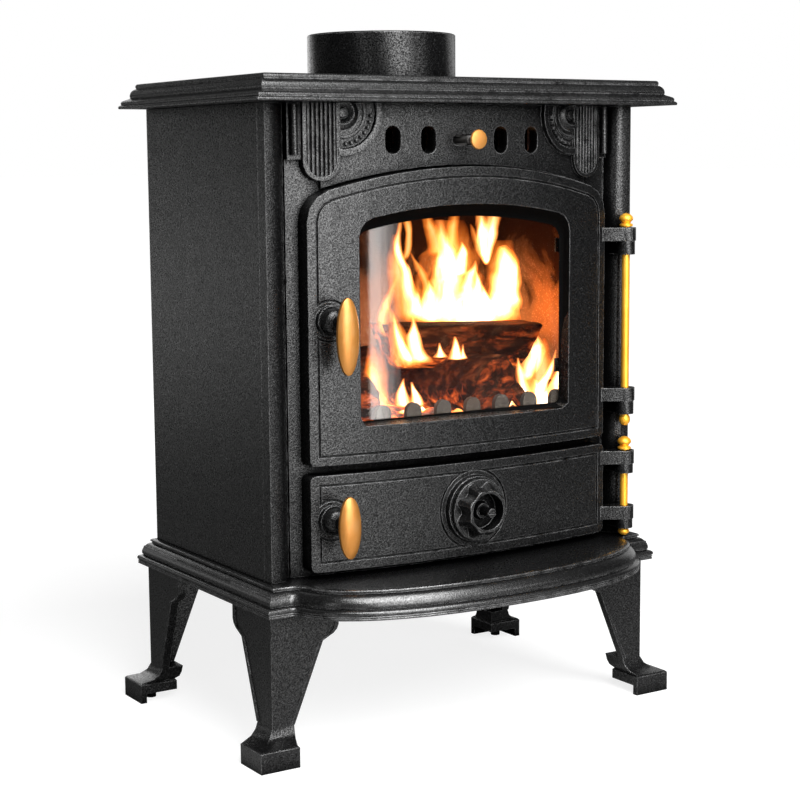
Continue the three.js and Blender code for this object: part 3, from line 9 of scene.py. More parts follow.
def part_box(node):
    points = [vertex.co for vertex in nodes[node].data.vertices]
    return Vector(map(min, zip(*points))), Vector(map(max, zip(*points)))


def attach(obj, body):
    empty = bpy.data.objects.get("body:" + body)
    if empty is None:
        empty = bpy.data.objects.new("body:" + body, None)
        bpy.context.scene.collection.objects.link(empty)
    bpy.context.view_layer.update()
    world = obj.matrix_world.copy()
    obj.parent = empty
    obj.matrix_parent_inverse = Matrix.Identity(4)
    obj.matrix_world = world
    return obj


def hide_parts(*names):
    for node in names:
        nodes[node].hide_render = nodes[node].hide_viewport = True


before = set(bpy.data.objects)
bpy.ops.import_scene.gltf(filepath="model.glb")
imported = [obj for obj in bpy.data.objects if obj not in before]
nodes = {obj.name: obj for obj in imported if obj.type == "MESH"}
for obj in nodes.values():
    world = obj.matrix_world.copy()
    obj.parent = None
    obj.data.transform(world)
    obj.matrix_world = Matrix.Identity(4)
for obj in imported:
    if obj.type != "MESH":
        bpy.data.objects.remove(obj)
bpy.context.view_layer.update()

slots = {name: node.data.materials[0].name for name, node in nodes.items()}
scene = bpy.context.scene
scene.view_settings.view_transform = "Standard"

MM = 0.001
QUARTER = math.pi / 2
FULL_TURN = 2 * math.pi
WHITE = (1, 1, 1)

# Camera fitted to the photograph
CAMERA_PLACE = Vector((-0.92697, -1.43582, 0.52512))
CAMERA_RIGHT = Vector((0.84336, -0.53729, -0.00769))
CAMERA_UP = Vector((0.07750, 0.10746, 0.99118))
LENS_MM = 80.92
SENSOR_MM = 36


def place_camera():
    """The camera at the photograph's place and angle."""
    data = bpy.data.cameras.new("camera")
    data.lens = LENS_MM
    data.sensor_width = SENSOR_MM
    camera = bpy.data.objects.new("camera", data)
    scene.collection.objects.link(camera)
    backward = CAMERA_RIGHT.cross(CAMERA_UP)
    turn = Matrix((CAMERA_RIGHT, CAMERA_UP, backward)).transposed().to_4x4()
    camera.matrix_world = Matrix.Translation(CAMERA_PLACE) @ turn
    scene.camera = camera


place_camera()


# Node helpers for the materials and the world
EDGE_SAMPLES = 4
EDGE_COSINE = 0.9
SHADE_SAMPLES = 6
COLOUR_MIX_INPUTS = (0, 6, 7)
COLOUR_MIX_OUTPUT = 2


class Graph:
    """A node tree under construction, with short calls for its nodes."""

    def __init__(self, tree, output):
        self.tree = tree
        self.output = output

    def node(self, kind, **fields):
        """A new node with its own settings, such as an operation."""
        made = self.tree.nodes.new(kind)
        for field, value in fields.items():
            setattr(made, field, value)
        return made

    def link(self, source, socket):
        self.tree.links.new(source, socket)

    def put(self, value, socket):
        """Sets a socket to a number or a colour, or links another node's output to it."""
        if isinstance(value, (int, float)):
            socket.default_value = value
        elif isinstance(value, tuple):
            socket.default_value = (*value, 1)
        else:
            self.link(value, socket)

    def span(self, source, low, high, start=0.0, end=1.0):
        """Maps the source from low..high to start..end, and holds it there outside."""
        made = self.node("ShaderNodeMapRange")
        limits = {"From Min": low, "From Max": high, "To Min": start, "To Max": end}
        for socket, value in limits.items():
            made.inputs[socket].default_value = value
        self.link(source, made.inputs["Value"])
        return made.outputs["Result"]

    def combine(self, operation, one, two=0):
        """One operation on two values, each a number or another node's output."""
        made = self.node("ShaderNodeMath", operation=operation)
        self.put(one, made.inputs[0])
        self.put(two, made.inputs[1])
        return made.outputs["Value"]

    def times(self, one, two):
        return self.combine("MULTIPLY", one, two)

    def axis(self, name, vector):
        """The part of a vector along X, Y or Z."""
        made = self.node("ShaderNodeSeparateXYZ")
        self.link(vector, made.inputs["Vector"])
        return made.outputs[name]

    def ray(self, kind):
        """1 for rays of a kind, such as Camera, and 0 for the others."""
        return self.node("ShaderNodeLightPath").outputs[f"Is {kind} Ray"]

    def plain(self, kind, colour, strength=None):
        """A shader of one colour and, where it has one, a strength."""
        made = self.node(kind)
        self.put(colour, made.inputs["Color"])
        if strength is not None:
            self.put(strength, made.inputs["Strength"])
        return made.outputs[0]

    def blend(self, factor, one, two):
        """Shader one where the factor is 0 and shader two where it is 1."""
        made = self.node("ShaderNodeMixShader")
        for source, socket in zip((factor, one, two), made.inputs):
            self.link(source, socket)
        return made.outputs["Shader"]

    def stack(self, one, two):
        """The light of two shaders added up."""
        made = self.node("ShaderNodeAddShader")
        self.link(one, made.inputs[0])
        self.link(two, made.inputs[1])
        return made.outputs["Shader"]

    def show(self, source):
        """Makes a shader the tree's result."""
        self.link(source, self.output.inputs["Surface"])


class Paint(Graph):
    """A material under construction around its main shader."""

    def __init__(self, name, roughness=0.5, metallic=0.0, specular=0.5):
        self.material = bpy.data.materials.new(name)
        self.material.use_nodes = True
        tree = self.material.node_tree
        super().__init__(tree, tree.nodes["Material Output"])
        self.shader = tree.nodes["Principled BSDF"]
        self.set("Roughness", roughness)
        self.set("Metallic", metallic)
        self.set("Specular IOR Level", specular)
        self.place = self.node("ShaderNodeTexCoord").outputs["Object"]

    def set(self, socket, value):
        """Gives the main shader one value all over."""
        self.shader.inputs[socket].default_value = value

    def feed(self, source, socket):
        """Lets a pattern drive a value of the main shader."""
        self.link(source, self.shader.inputs[socket])

    def stretch(self, x, y, z):
        """The place with each axis scaled, for patterns longer one way than another."""
        mapping = self.node("ShaderNodeMapping")
        mapping.inputs["Scale"].default_value = (x, y, z)
        self.link(self.place, mapping.inputs["Vector"])
        return mapping.outputs["Vector"]

    def noise(self, scale, detail=2.0, rough=0.5, distortion=0.0, vector=None):
        made = self.node("ShaderNodeTexNoise")
        made.inputs["Scale"].default_value = scale
        made.inputs["Detail"].default_value = detail
        made.inputs["Roughness"].default_value = rough
        made.inputs["Distortion"].default_value = distortion
        self.link(vector or self.place, made.inputs["Vector"])
        return made.outputs["Fac"]

    def cells(self, scale, feature="F1", vector=None):
        made = self.node("ShaderNodeTexVoronoi", feature=feature)
        made.inputs["Scale"].default_value = scale
        self.link(vector or self.place, made.inputs["Vector"])
        return made.outputs["Distance"]

    def ramp(self, source, stops):
        """Colours by the source's value: stops of (value, colour)."""
        made = self.node("ShaderNodeValToRGB")
        elements = made.color_ramp.elements
        while len(elements) < len(stops):
            elements.new(0.5)
        for element, (spot, colour) in zip(elements, stops):
            element.position = spot
            element.color = (*colour, 1)
        self.link(source, made.inputs["Fac"])
        return made.outputs["Color"]

    def mix(self, factor, one, two):
        """Colour one where the factor is 0 and colour two where it is 1."""
        made = self.node("ShaderNodeMix", data_type="RGBA")
        for value, socket in zip((factor, one, two), COLOUR_MIX_INPUTS):
            self.put(value, made.inputs[socket])
        return made.outputs[COLOUR_MIX_OUTPUT]

    def distance(self, point):
        """How far a place is from a point, in metres."""
        made = self.node("ShaderNodeVectorMath", operation="DISTANCE")
        self.link(self.place, made.inputs[0])
        made.inputs[1].default_value = point
        return made.outputs["Value"]

    def edge(self, radius):
        """Rounded normal, and how far it leaves the flat one: 0 on faces, about 1 on edges."""
        rounded = self.node("ShaderNodeBevel", samples=EDGE_SAMPLES)
        rounded.inputs["Radius"].default_value = radius
        flat = self.node("ShaderNodeNewGeometry").outputs["Normal"]
        dot = self.node("ShaderNodeVectorMath", operation="DOT_PRODUCT")
        self.link(rounded.outputs["Normal"], dot.inputs[0])
        self.link(flat, dot.inputs[1])
        return rounded.outputs["Normal"], self.span(dot.outputs["Value"], 1.0, EDGE_COSINE)

    def shade(self, reach, low, high):
        """How open a place is within a reach in metres, by ambient occlusion, for painting shade: 0 in
        grooves, 1 on open faces.
        """
        made = self.node("ShaderNodeAmbientOcclusion", samples=SHADE_SAMPLES)
        made.inputs["Distance"].default_value = reach
        return self.span(made.outputs["AO"], low, high)

    def bump(self, heights, normal=None):
        """Stacks (height, depth in metres, strength) layers and feeds the normal."""
        for height, depth, strength in heights:
            made = self.node("ShaderNodeBump")
            made.inputs["Distance"].default_value = depth
            made.inputs["Strength"].default_value = strength
            self.link(height, made.inputs["Height"])
            if normal is not None:
                self.link(normal, made.inputs["Normal"])
            normal = made.outputs["Normal"]
        self.feed(normal, "Normal")


# Materials: colours are linear, texture scales are per metre, reliefs are in metres
# The paint's black also serves as the painted shade in grooves and under overhangs; the rubbed iron
# colour is partly wear, partly a painted highlight on edges
PAINT_AND_SHADE_BLACK = (0.0012, 0.0012, 0.0013)
PAINT_THIN = (0.003, 0.003, 0.0031)
PAINT_SPECKS = [(0.38, PAINT_AND_SHADE_BLACK), (0.54, (0.0024, 0.0024, 0.0025)),
                (0.64, (0.008, 0.008, 0.0082)), (0.74, (0.035, 0.035, 0.036))]
RUBBED_IRON_AND_HIGHLIGHT = (0.16, 0.16, 0.161)
RUBBED_GLEAM = 0.45
RUBBED_SMOOTHING = 0.06
PAINT_EDGE = 0.0011
# Reaches of the painted shade: in grooves and corners, and under overhangs such as the top slab
CORNER_SHADE_REACH = 0.003
RECESS_SHADE_REACH = 0.024


def painted_iron(name, coarse=1.0, gloss=0.0, groove_wear_and_highlight=0.0):
    """Matt graphite stove paint over a sand casting: fine grain, slow waves, rubbed edges that are
    partly a painted highlight, and painted shade in grooves and under overhangs.

    coarse scales the grain's relief, gloss adds to its gleam, and the third argument is the share
    of the rubbed edges' wear and painted highlight that also reaches edges inside grooves.
    """
    paint = Paint(name)
    grain = paint.noise(740, detail=2.0, rough=0.6)
    fine = paint.noise(1900, detail=2.0, rough=0.5)
    waves = paint.noise(34, detail=3.0)
    rounded, edge_wear_and_highlight = paint.edge(PAINT_EDGE)
    # Painted shade: ambient occlusion within a small reach (grooves, corners) and a large one (under
    # overhangs) darkens the colour to black and dims the gleam
    corner = paint.shade(CORNER_SHADE_REACH, 0.1, 0.6)
    recess_shade = paint.shade(RECESS_SHADE_REACH, 0.42, 0.76)
    painted_shade_mask = paint.times(corner, recess_shade)
    speck = paint.ramp(grain, PAINT_SPECKS)
    patch = paint.mix(paint.span(waves, 0.3, 0.75, 0.0, 0.5), speck, PAINT_THIN)
    # Rubbed edges, lighter and glossier: partly wear, partly a painted highlight on every edge; groove
    # edges get it only as far as the last argument allows
    scuffs = paint.span(paint.noise(90, detail=4.0, rough=0.7), 0.35, 0.62)
    rubbed = paint.times(edge_wear_and_highlight, scuffs)
    rubbed = paint.times(rubbed, paint.span(corner, 0.0, 1.0, groove_wear_and_highlight, 1.0))
    # Base colour: black where the painted shade falls, lighter on the edges as wear and painted
    # highlight
    colour = paint.mix(painted_shade_mask, PAINT_AND_SHADE_BLACK, patch)
    paint.feed(paint.mix(rubbed, colour, RUBBED_IRON_AND_HIGHLIGHT), "Base Color")
    gleam = paint.span(grain, 0.3, 0.7, 0.12 + gloss, 0.88 + gloss)
    gleam = paint.times(gleam, painted_shade_mask)
    bare = paint.times(rubbed, RUBBED_GLEAM)
    paint.feed(paint.combine("ADD", gleam, bare), "Specular IOR Level")
    dull = paint.span(grain, 0.35, 0.7, 0.31, 0.22)
    polish = paint.times(rubbed, RUBBED_SMOOTHING)
    paint.feed(paint.combine("SUBTRACT", dull, polish), "Roughness")
    layers = [(waves, 0.0012, 0.2), (grain, 0.00028, 0.9 * coarse), (fine, 0.00005, 0.5)]
    paint.bump(layers, rounded)
    return paint.material


def dimmed(colour, tone):
    """A colour with each part scaled by the tone."""
    return tuple(part * tone for part in colour)


def bare_iron(name, tone=1.0):
    """Unpainted grey iron inside the fire, dusted with ash and heat-browned."""
    paint = Paint(name, specular=0.4, metallic=0.25)
    grain = paint.noise(700, detail=4.0, rough=0.6)
    stain = paint.noise(46, detail=4.0, rough=0.6)
    dust = paint.noise(130, detail=3.0, rough=0.7)
    colour = paint.ramp(stain, [(0.3, dimmed((0.055, 0.052, 0.05), tone)),
                                (0.55, dimmed((0.095, 0.092, 0.088), tone)),
                                (0.75, dimmed((0.085, 0.062, 0.046), tone))])
    ash = dimmed((0.2, 0.195, 0.19), tone)
    paint.feed(paint.mix(paint.span(dust, 0.52, 0.75), colour, ash), "Base Color")
    paint.feed(paint.span(dust, 0.3, 0.8, 0.55, 0.85), "Roughness")
    rounded, _ = paint.edge(0.0009)
    paint.bump([(stain, 0.0008, 0.3), (grain, 0.0004, 0.5)], rounded)
    return paint.material


def brass(name, tone):
    """Satin yellow brass with a light lacquer, faint turning marks and finger haze."""
    red, green, blue = tone
    darker = (red * 0.93, green * 0.88, blue * 0.7)
    paler = (red, green * 1.12, blue * 1.5)
    paint = Paint(name, metallic=0.65, specular=0.5)
    haze = paint.noise(60, detail=3.0, rough=0.6)
    marks = paint.noise(900, detail=2.0, rough=0.5, vector=paint.stretch(0.15, 0.15, 2.2))
    paint.feed(paint.ramp(haze, [(0.3, darker), (0.52, tone), (0.72, paler)]), "Base Color")
    paint.feed(paint.span(haze, 0.3, 0.75, 0.38, 0.48), "Roughness")
    rounded, _ = paint.edge(0.0005)
    paint.bump([(haze, 0.0004, 0.1), (marks, 0.00005, 0.2)], rounded)
    paint.set("Coat Weight", 0.15)
    paint.set("Coat Roughness", 0.25)
    return paint.material


def steel():
    """Zinc-dulled steel of bolts, rods and nuts with a brushed grain."""
    paint = Paint("steel", metallic=0.9, specular=0.5)
    brushed = paint.noise(1200, detail=3.0, rough=0.6, vector=paint.stretch(1, 1, 0.06))
    stain = paint.noise(75, detail=4.0, rough=0.6)
    paint.feed(paint.ramp(stain, [(0.32, (0.2, 0.2, 0.205)), (0.6, (0.34, 0.34, 0.35)),
                                  (0.78, (0.3, 0.27, 0.24))]), "Base Color")
    paint.feed(paint.span(brushed, 0.3, 0.7, 0.3, 0.5), "Roughness")
    rounded, _ = paint.edge(0.0004)
    paint.bump([(brushed, 0.0001, 0.3)], rounded)
    return paint.material


def stove_glass():
    """Flat ceramic glass, faintly warm, with a light haze of soot; it lets light straight in."""
    paint = Paint("glass", roughness=0.02, specular=0.5)
    paint.set("Transmission Weight", 1.0)
    paint.set("IOR", 1.5)
    haze = paint.noise(22, detail=4.0, rough=0.6)
    tint = paint.ramp(haze, [(0.3, (0.98, 0.93, 0.88)), (0.7, (0.9, 0.83, 0.76))])
    paint.feed(tint, "Base Color")
    clear = paint.plain("ShaderNodeBsdfTransparent", (0.9, 0.86, 0.82))
    paint.show(paint.blend(paint.ray("Shadow"), paint.shader.outputs["BSDF"], clear))
    return paint.material


SOOT_START = 0.37
SOOT_FULL = 0.44


def firebrick():
    """Cast vermiculite slab: buff, flecked, and sooted from half its height up."""
    paint = Paint("firebrick", roughness=0.95, specular=0.05)
    fleck = paint.cells(420)
    cloud = paint.noise(17, detail=5.0, rough=0.62, distortion=0.6)
    grit = paint.noise(360, detail=4.0, rough=0.7)
    buff = paint.ramp(cloud, [(0.3, (0.1, 0.05, 0.026)), (0.5, (0.2, 0.11, 0.06)),
                              (0.7, (0.3, 0.19, 0.11))])
    flecked = paint.mix(paint.span(fleck, 0.35, 0.1), buff, (0.4, 0.28, 0.17))
    uneven = paint.span(cloud, 0.3, 0.7, -0.05, 0.05)
    height = paint.combine("ADD", paint.axis("Z", paint.place), uneven)
    soot = paint.span(height, SOOT_START, SOOT_FULL)
    paint.feed(paint.mix(soot, flecked, (0.014, 0.006, 0.003)), "Base Color")
    paint.bump([(cloud, 0.0015, 0.4), (grit, 0.0007, 0.5)])
    return paint.material


def rope_fibre():
    """Graphite-black braided glass-fibre rope with soot rubbed into the plaits."""
    paint = Paint("rope", roughness=0.85, specular=0.2)
    wave = paint.node("ShaderNodeTexWave", bands_direction="DIAGONAL")
    wave.inputs["Scale"].default_value = 130
    wave.inputs["Distortion"].default_value = 1.5
    paint.link(paint.place, wave.inputs["Vector"])
    stripes = wave.outputs["Fac"]
    soot = paint.noise(60, detail=4.0, rough=0.6)
    plait = paint.ramp(stripes, [(0.2, (0.02, 0.02, 0.02)), (0.6, (0.085, 0.084, 0.082))])
    sooted = paint.mix(paint.span(soot, 0.45, 0.7), plait, (0.03, 0.028, 0.027))
    paint.feed(sooted, "Base Color")
    paint.set("Sheen Weight", 0.3)
    paint.bump([(stripes, 0.0008, 0.7), (paint.noise(1500, detail=2.0), 0.0002, 0.4)])
    return paint.material


def black_bedding_and_shade():
    """Soot-black bedding round the window glass, black enough to serve also as painted shade on the
    opening's reveal.
    """
    paint = Paint("bedding_and_painted_shade", roughness=0.9, specular=0.02)
    fuzz = paint.noise(900, detail=3.0, rough=0.6)
    soot = paint.ramp(fuzz, [(0.3, (0.0012, 0.0012, 0.0012)), (0.75, (0.004, 0.0039, 0.0038))])
    paint.feed(soot, "Base Color")
    paint.bump([(fuzz, 0.0004, 0.6)])
    return paint.material


EMBER_TOP = 0.325
EMBER_FULL = 0.29


def charred_log():
    """Charred bark, cracked, with embers in low cracks and underneath, and patches of ash."""
    paint = Paint("charred_log", roughness=0.95, specular=0.04)
    bark = paint.noise(95, detail=5.0, rough=0.65, distortion=0.4,
                       vector=paint.stretch(0.35, 1, 1))
    cracks = paint.cells(120, "DISTANCE_TO_EDGE", paint.stretch(0.4, 1, 1))
    wood = paint.ramp(bark, [(0.3, (0.004, 0.0014, 0.001)), (0.5, (0.018, 0.005, 0.002)),
                             (0.62, (0.07, 0.02, 0.007)), (0.8, (0.2, 0.07, 0.025))])
    ash = paint.span(paint.noise(60, detail=4.0, rough=0.7), 0.56, 0.74)
    ashy = paint.mix(paint.times(ash, 0.2), wood, (0.14, 0.08, 0.05))
    paint.feed(ashy, "Base Color")
    low = paint.span(paint.axis("Z", paint.place), EMBER_TOP, EMBER_FULL)
    live = paint.span(paint.noise(38, detail=3.0, rough=0.55), 0.54, 0.7)
    seams = paint.times(paint.span(cracks, 0.07, 0.0), paint.times(low, live))
    upward = paint.axis("Z", paint.node("ShaderNodeNewGeometry").outputs["Normal"])
    belly = paint.times(paint.span(upward, 0.2, -0.55), paint.span(bark, 0.42, 0.7))
    hot = paint.combine("MAXIMUM", seams, belly)
    paint.feed(paint.ramp(hot, [(0.0, (0.35, 0.02, 0.0)), (0.5, (1.0, 0.16, 0.02)),
                                (1.0, (1.0, 0.5, 0.14))]), "Emission Color")
    paint.feed(paint.span(hot, 0.05, 1.0, 0.0, 1.5), "Emission Strength")
    paint.bump([(cracks, 0.0035, 0.5), (bark, 0.003, 0.6)])
    return paint.material


def glowing_coals():
    """Bed of coals: black and grey crust over red and orange glow."""
    paint = Paint("embers", roughness=0.95, specular=0.1)
    lumps = paint.cells(75)
    grit = paint.noise(260, detail=4.0, rough=0.7)
    paint.feed(paint.ramp(grit, [(0.35, (0.02, 0.014, 0.012)), (0.6, (0.1, 0.08, 0.07)),
                                 (0.8, (0.32, 0.28, 0.25))]), "Base Color")
    heat = paint.times(paint.span(lumps, 0.12, 0.62), paint.span(paint.noise(30), 0.35, 0.62))
    glow = paint.ramp(heat, [(0.0, (0.4, 0.02, 0.0)), (0.4, (1.0, 0.14, 0.015)),
                             (0.8, (1.0, 0.5, 0.12)), (1.0, (1.0, 0.8, 0.4))])
    paint.feed(glow, "Emission Color")
    paint.feed(paint.span(heat, 0.04, 0.9, 0.15, 4.5), "Emission Strength")
    paint.bump([(lumps, 0.006, 0.6), (grit, 0.002, 0.5)])
    return paint.material


def flame_glow(name, heat, power):
    """Flame: clear glowing gas, white-hot where it is thick, orange and fading at the edges."""
    paint = Paint(name)
    paint.tree.nodes.remove(paint.shader)
    flow = paint.node("ShaderNodeUVMap", uv_map="flow").outputs["UV"]
    across, along = paint.axis("X", flow), paint.axis("Y", flow)
    lick = paint.noise(1, detail=2.5, rough=0.5, distortion=0.9,
                       vector=paint.stretch(60, 60, 17))
    side = paint.combine("ABSOLUTE", paint.combine("SUBTRACT", across, 0.5))
    ragged = paint.combine("ADD", paint.span(side, 0.5, 0.0),
                           paint.span(lick, 0.3, 0.7, -0.3, 0.2))
    rise = paint.span(along, 1.0, 0.55, 0.2, 1.0)
    foot = paint.span(along, 0.0, 0.12)
    strength = paint.times(paint.times(ragged, rise), foot)
    glow = paint.plain("ShaderNodeEmission", paint.ramp(strength, heat),
                       paint.span(strength, 0.03, 0.75, 0.0, power))
    paint.show(paint.stack(paint.plain("ShaderNodeBsdfTransparent", WHITE), glow))
    return paint.material


SATIN_BRASS = (0.5, 0.21, 0.044)
BRIGHT_BRASS = (0.95, 0.46, 0.035)

finishes = {
    "painted_iron": painted_iron("painted_iron"),
    "bare_iron": bare_iron("bare_iron"),
    "brass": brass("brass", SATIN_BRASS),
    "steel": steel(),
    "glass": stove_glass(),
    "firebrick": firebrick(),
    "rope": rope_fibre(),
}

# Nodes whose finish differs from their slot's
smooth_iron = painted_iron("smooth_painted_iron", coarse=0.4, gloss=0.3)
bright_brass = brass("bright_brass", BRIGHT_BRASS)
own_finishes = {
    "base_plate": smooth_iron,
    "top_plate": smooth_iron,
    "flue_collar": painted_iron("matt_iron", coarse=0.6, gloss=-0.18),
    # The wheel's rubbed edges, wear and painted highlight, also reach into its grooves
    "spin_wheel": painted_iron("handled_iron_edge_highlight", coarse=0.4, gloss=0.3, groove_wear_and_highlight=0.9),
    "wheel_spindle": finishes["painted_iron"],
    "baffle_plate": bare_iron("sooted_iron", tone=0.12),
    "log_guard": bare_iron("guard_iron", tone=0.4),
    "main_hinge_pin": bright_brass,
    "ash_hinge_pin": bright_brass,
}
for name in nodes:
    if name.startswith(("glass_clip", "clip_screw")):
        own_finishes[name] = finishes["painted_iron"]

WELD_DISTANCE = 0.00002
CRISP_ANGLE = math.radians(38)
NORMAL_WEIGHT = 60
KNOB_LEVELS = 2


def dress(node, finish):
    """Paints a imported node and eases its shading, with edges above the crisp angle kept."""
    node.data.materials.clear()
    node.data.materials.append(finish)
    node.data.polygons.foreach_set("use_smooth", [True] * len(node.data.polygons))
    weld = node.modifiers.new("weld", "WELD")
    weld.merge_threshold = WELD_DISTANCE
    split = node.modifiers.new("crisp", "EDGE_SPLIT")
    split.split_angle = CRISP_ANGLE
    split.use_edge_sharp = False
    even = node.modifiers.new("even", "WEIGHTED_NORMAL")
    even.mode = "FACE_AREA"
    even.weight = NORMAL_WEIGHT


for name, node in nodes.items():
    dress(node, own_finishes.get(name, finishes[slots[name]]))
for name in ("main_handle_knob", "ash_handle_knob"):
    smooth = nodes[name].modifiers.new("round", "SUBSURF")
    smooth.levels = smooth.render_levels = KNOB_LEVELS


# Pieces of the scene's own
def mesh_object(name, mesh_maker, material):
    """An object whose mesh is filled by its maker, in one smooth material."""
    mesh = bpy.data.meshes.new(name)
    shape = bmesh.new()
    mesh_maker(shape)
    shape.to_mesh(mesh)
    shape.free()
    mesh.polygons.foreach_set("use_smooth", [True] * len(mesh.polygons))
    mesh.materials.append(material)
    made = bpy.data.objects.new(name, mesh)
    scene.collection.objects.link(made)
    return made


def new_piece(name, mesh_maker, material, body="stove"):
    """A visible piece that moves with a body of the stove."""
    piece = mesh_object(name, mesh_maker, material)
    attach(piece, body)
    return piece


def skin(shape, rings, closed=True):
    """Faces between each ring of vertices and the next; a ring of one vertex is a tip."""
    for one, two in zip(rings, rings[1:]):
        count = max(len(one), len(two))
        for k in range(count if closed else count - 1):
            corners = [one[k % len(one)], one[(k + 1) % len(one)],
                       two[(k + 1) % len(two)], two[k % len(two)]]
            corners = list(dict.fromkeys(corners))
            if len(corners) > 2:
                shape.faces.new(corners)


# Fire: logs, coals and flames stand on the grate behind the glass; sizes in metres
LOG_RINGS = 26
LOG_SIDES = 30
END_SHARES = (0.0, 0.35, 0.7, 0.93)
LOG_SWELL = 0.1
BARK_COARSE = 0.0022
BARK_FINE = 0.0011
END_GRAIN = 0.0016
SPLIT_ROUNDNESS = 0.12
SPLIT_SQUARENESS = 4
SEED_SHIFT = (1.7, 0.6, 2.3)


def bark_reach(radius, out, up, spot, shift, flat):
    """Distance from a log's middle line to its bark, in the direction (out, up)."""
    def lumps(around, along):
        return noise.noise(Vector((out * around, up * around, spot * along)) + shift)

    swell = noise.noise(Vector((out, up, spot * 2.5)) * 1.6 + shift)
    reach = radius * (1 + LOG_SWELL * swell)
    if flat:
        square = out ** SPLIT_SQUARENESS + up ** SPLIT_SQUARENESS
        reach *= square ** (-1 / SPLIT_SQUARENESS)
    return reach + BARK_COARSE * lumps(5, 9) + BARK_FINE * lumps(17, 16)


def log_shape(start, end, radius, seed, flat, cut):
    """A log from start to end: rough bark and end grain, slanted cut ends.

    flat is the height of a split top as a share of the radius, or 0 for a round log, and cut
    is the slant of the ends.
    """
    start, end = Vector(start), Vector(end)
    along = (end - start).normalized()
    side = along.cross(Vector((0, 0, 1))).normalized()
    lift = side.cross(along)
    shift = Vector([seed * part for part in SEED_SHIFT])
    profile = [(0.0, share) for share in END_SHARES]
    profile += [(i / (LOG_RINGS - 1), 1.0) for i in range(LOG_RINGS)]
    profile += [(1.0, share) for share in reversed(END_SHARES)]

    def corner(spot, share, k):
        angle = FULL_TURN * k / LOG_SIDES
        up, out = math.sin(angle), math.cos(angle)
        reach = bark_reach(radius, out, up, spot, shift, flat)
        height = up * reach * share
        if flat and height > radius * flat:
            height = radius * flat + SPLIT_ROUNDNESS * (height - radius * flat)
        slide = cut * height * (2 * spot - 1)
        if spot in (0, 1):
            slide += END_GRAIN * noise.noise(Vector((out * share * 6, up * share * 6, seed)))
        return start.lerp(end, spot) + along * slide + side * (out * reach * share) + lift * height

    def make(shape):
        rings = []
        for spot, share in profile:
            count = LOG_SIDES if share else 1
            rings.append([shape.verts.new(corner(spot, share, k)) for k in range(count)])
        skin(shape, rings)
        bmesh.ops.recalc_face_normals(shape, faces=shape.faces)

    return make


GRATE_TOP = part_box("grate")[1][2]

# Each log: start, end, radius, seed, flat top, slant of the ends
LOGS = {
    "log_low": ((0.062, -0.048, GRATE_TOP + 0.027), (0.022, 0.085, GRATE_TOP + 0.03),
                0.033, 3, 0.0, 0.1),
    "log_across": ((-0.018, 0.02, 0.3555), (0.130, 0.0, 0.3515),
                   0.0275, 7, 0.45, 0.45),
    "log_left": ((-0.085, -0.036, GRATE_TOP + 0.019), (-0.03, 0.06, GRATE_TOP + 0.03),
                 0.021, 11, 0.0, 0.2),
    "log_right": ((0.152, -0.012, GRATE_TOP + 0.014), (0.085, 0.075, GRATE_TOP + 0.034),
                  0.016, 17, 0.0, 0.2),
    "log_rear": ((-0.1, 0.09, GRATE_TOP + 0.03), (0.13, 0.085, GRATE_TOP + 0.034),
                 0.028, 23, 0.0, 0.1),
    "stick": ((0.104, -0.043, GRATE_TOP + 0.007), (0.068, -0.012, GRATE_TOP + 0.062),
              0.0075, 29, 0.0, 0.1),
}
char = charred_log()
for name, form in LOGS.items():
    new_piece(name, log_shape(*form), char)

COALS_ACROSS = 74
COALS_DEEP = 44
COALS_FRONT = -0.044
COALS_SIDE_GAP = 0.012
COALS_REAR_GAP = 0.006
COALS_LIFT = 0.0008
COALS_HEIGHT = 0.0115
COALS_FADE = 8
COAL_LUMPS = 70
COAL_CRUMBS = 160


def ember_shape(shape):
    """Lumpy sheet of coals over the grate, thinning toward its rim."""
    low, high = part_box("grate")
    width = high[0] - low[0] - 2 * COALS_SIDE_GAP
    length = high[1] - COALS_REAR_GAP - COALS_FRONT

    def vertex(u, v):
        x = low[0] + COALS_SIDE_GAP + width * u
        y = COALS_FRONT + length * v
        edge = min(1.0, COALS_FADE * min(u, 1 - u, v + 0.08, 1 - v))
        lump = 0.5 + 0.5 * noise.noise(Vector((x * COAL_LUMPS, y * COAL_LUMPS, 3.1)))
        lump += 0.35 * noise.noise(Vector((x * COAL_CRUMBS, y * COAL_CRUMBS, 8.7)))
        z = high[2] + COALS_LIFT + COALS_HEIGHT * max(0.0, lump) * edge
        return shape.verts.new((x, y, z))

    rows = [[vertex(i / (COALS_ACROSS - 1), j / (COALS_DEEP - 1)) for i in range(COALS_ACROSS)]
            for j in range(COALS_DEEP)]
    skin(shape, rows, closed=False)


new_piece("ember_bed", ember_shape, glowing_coals())

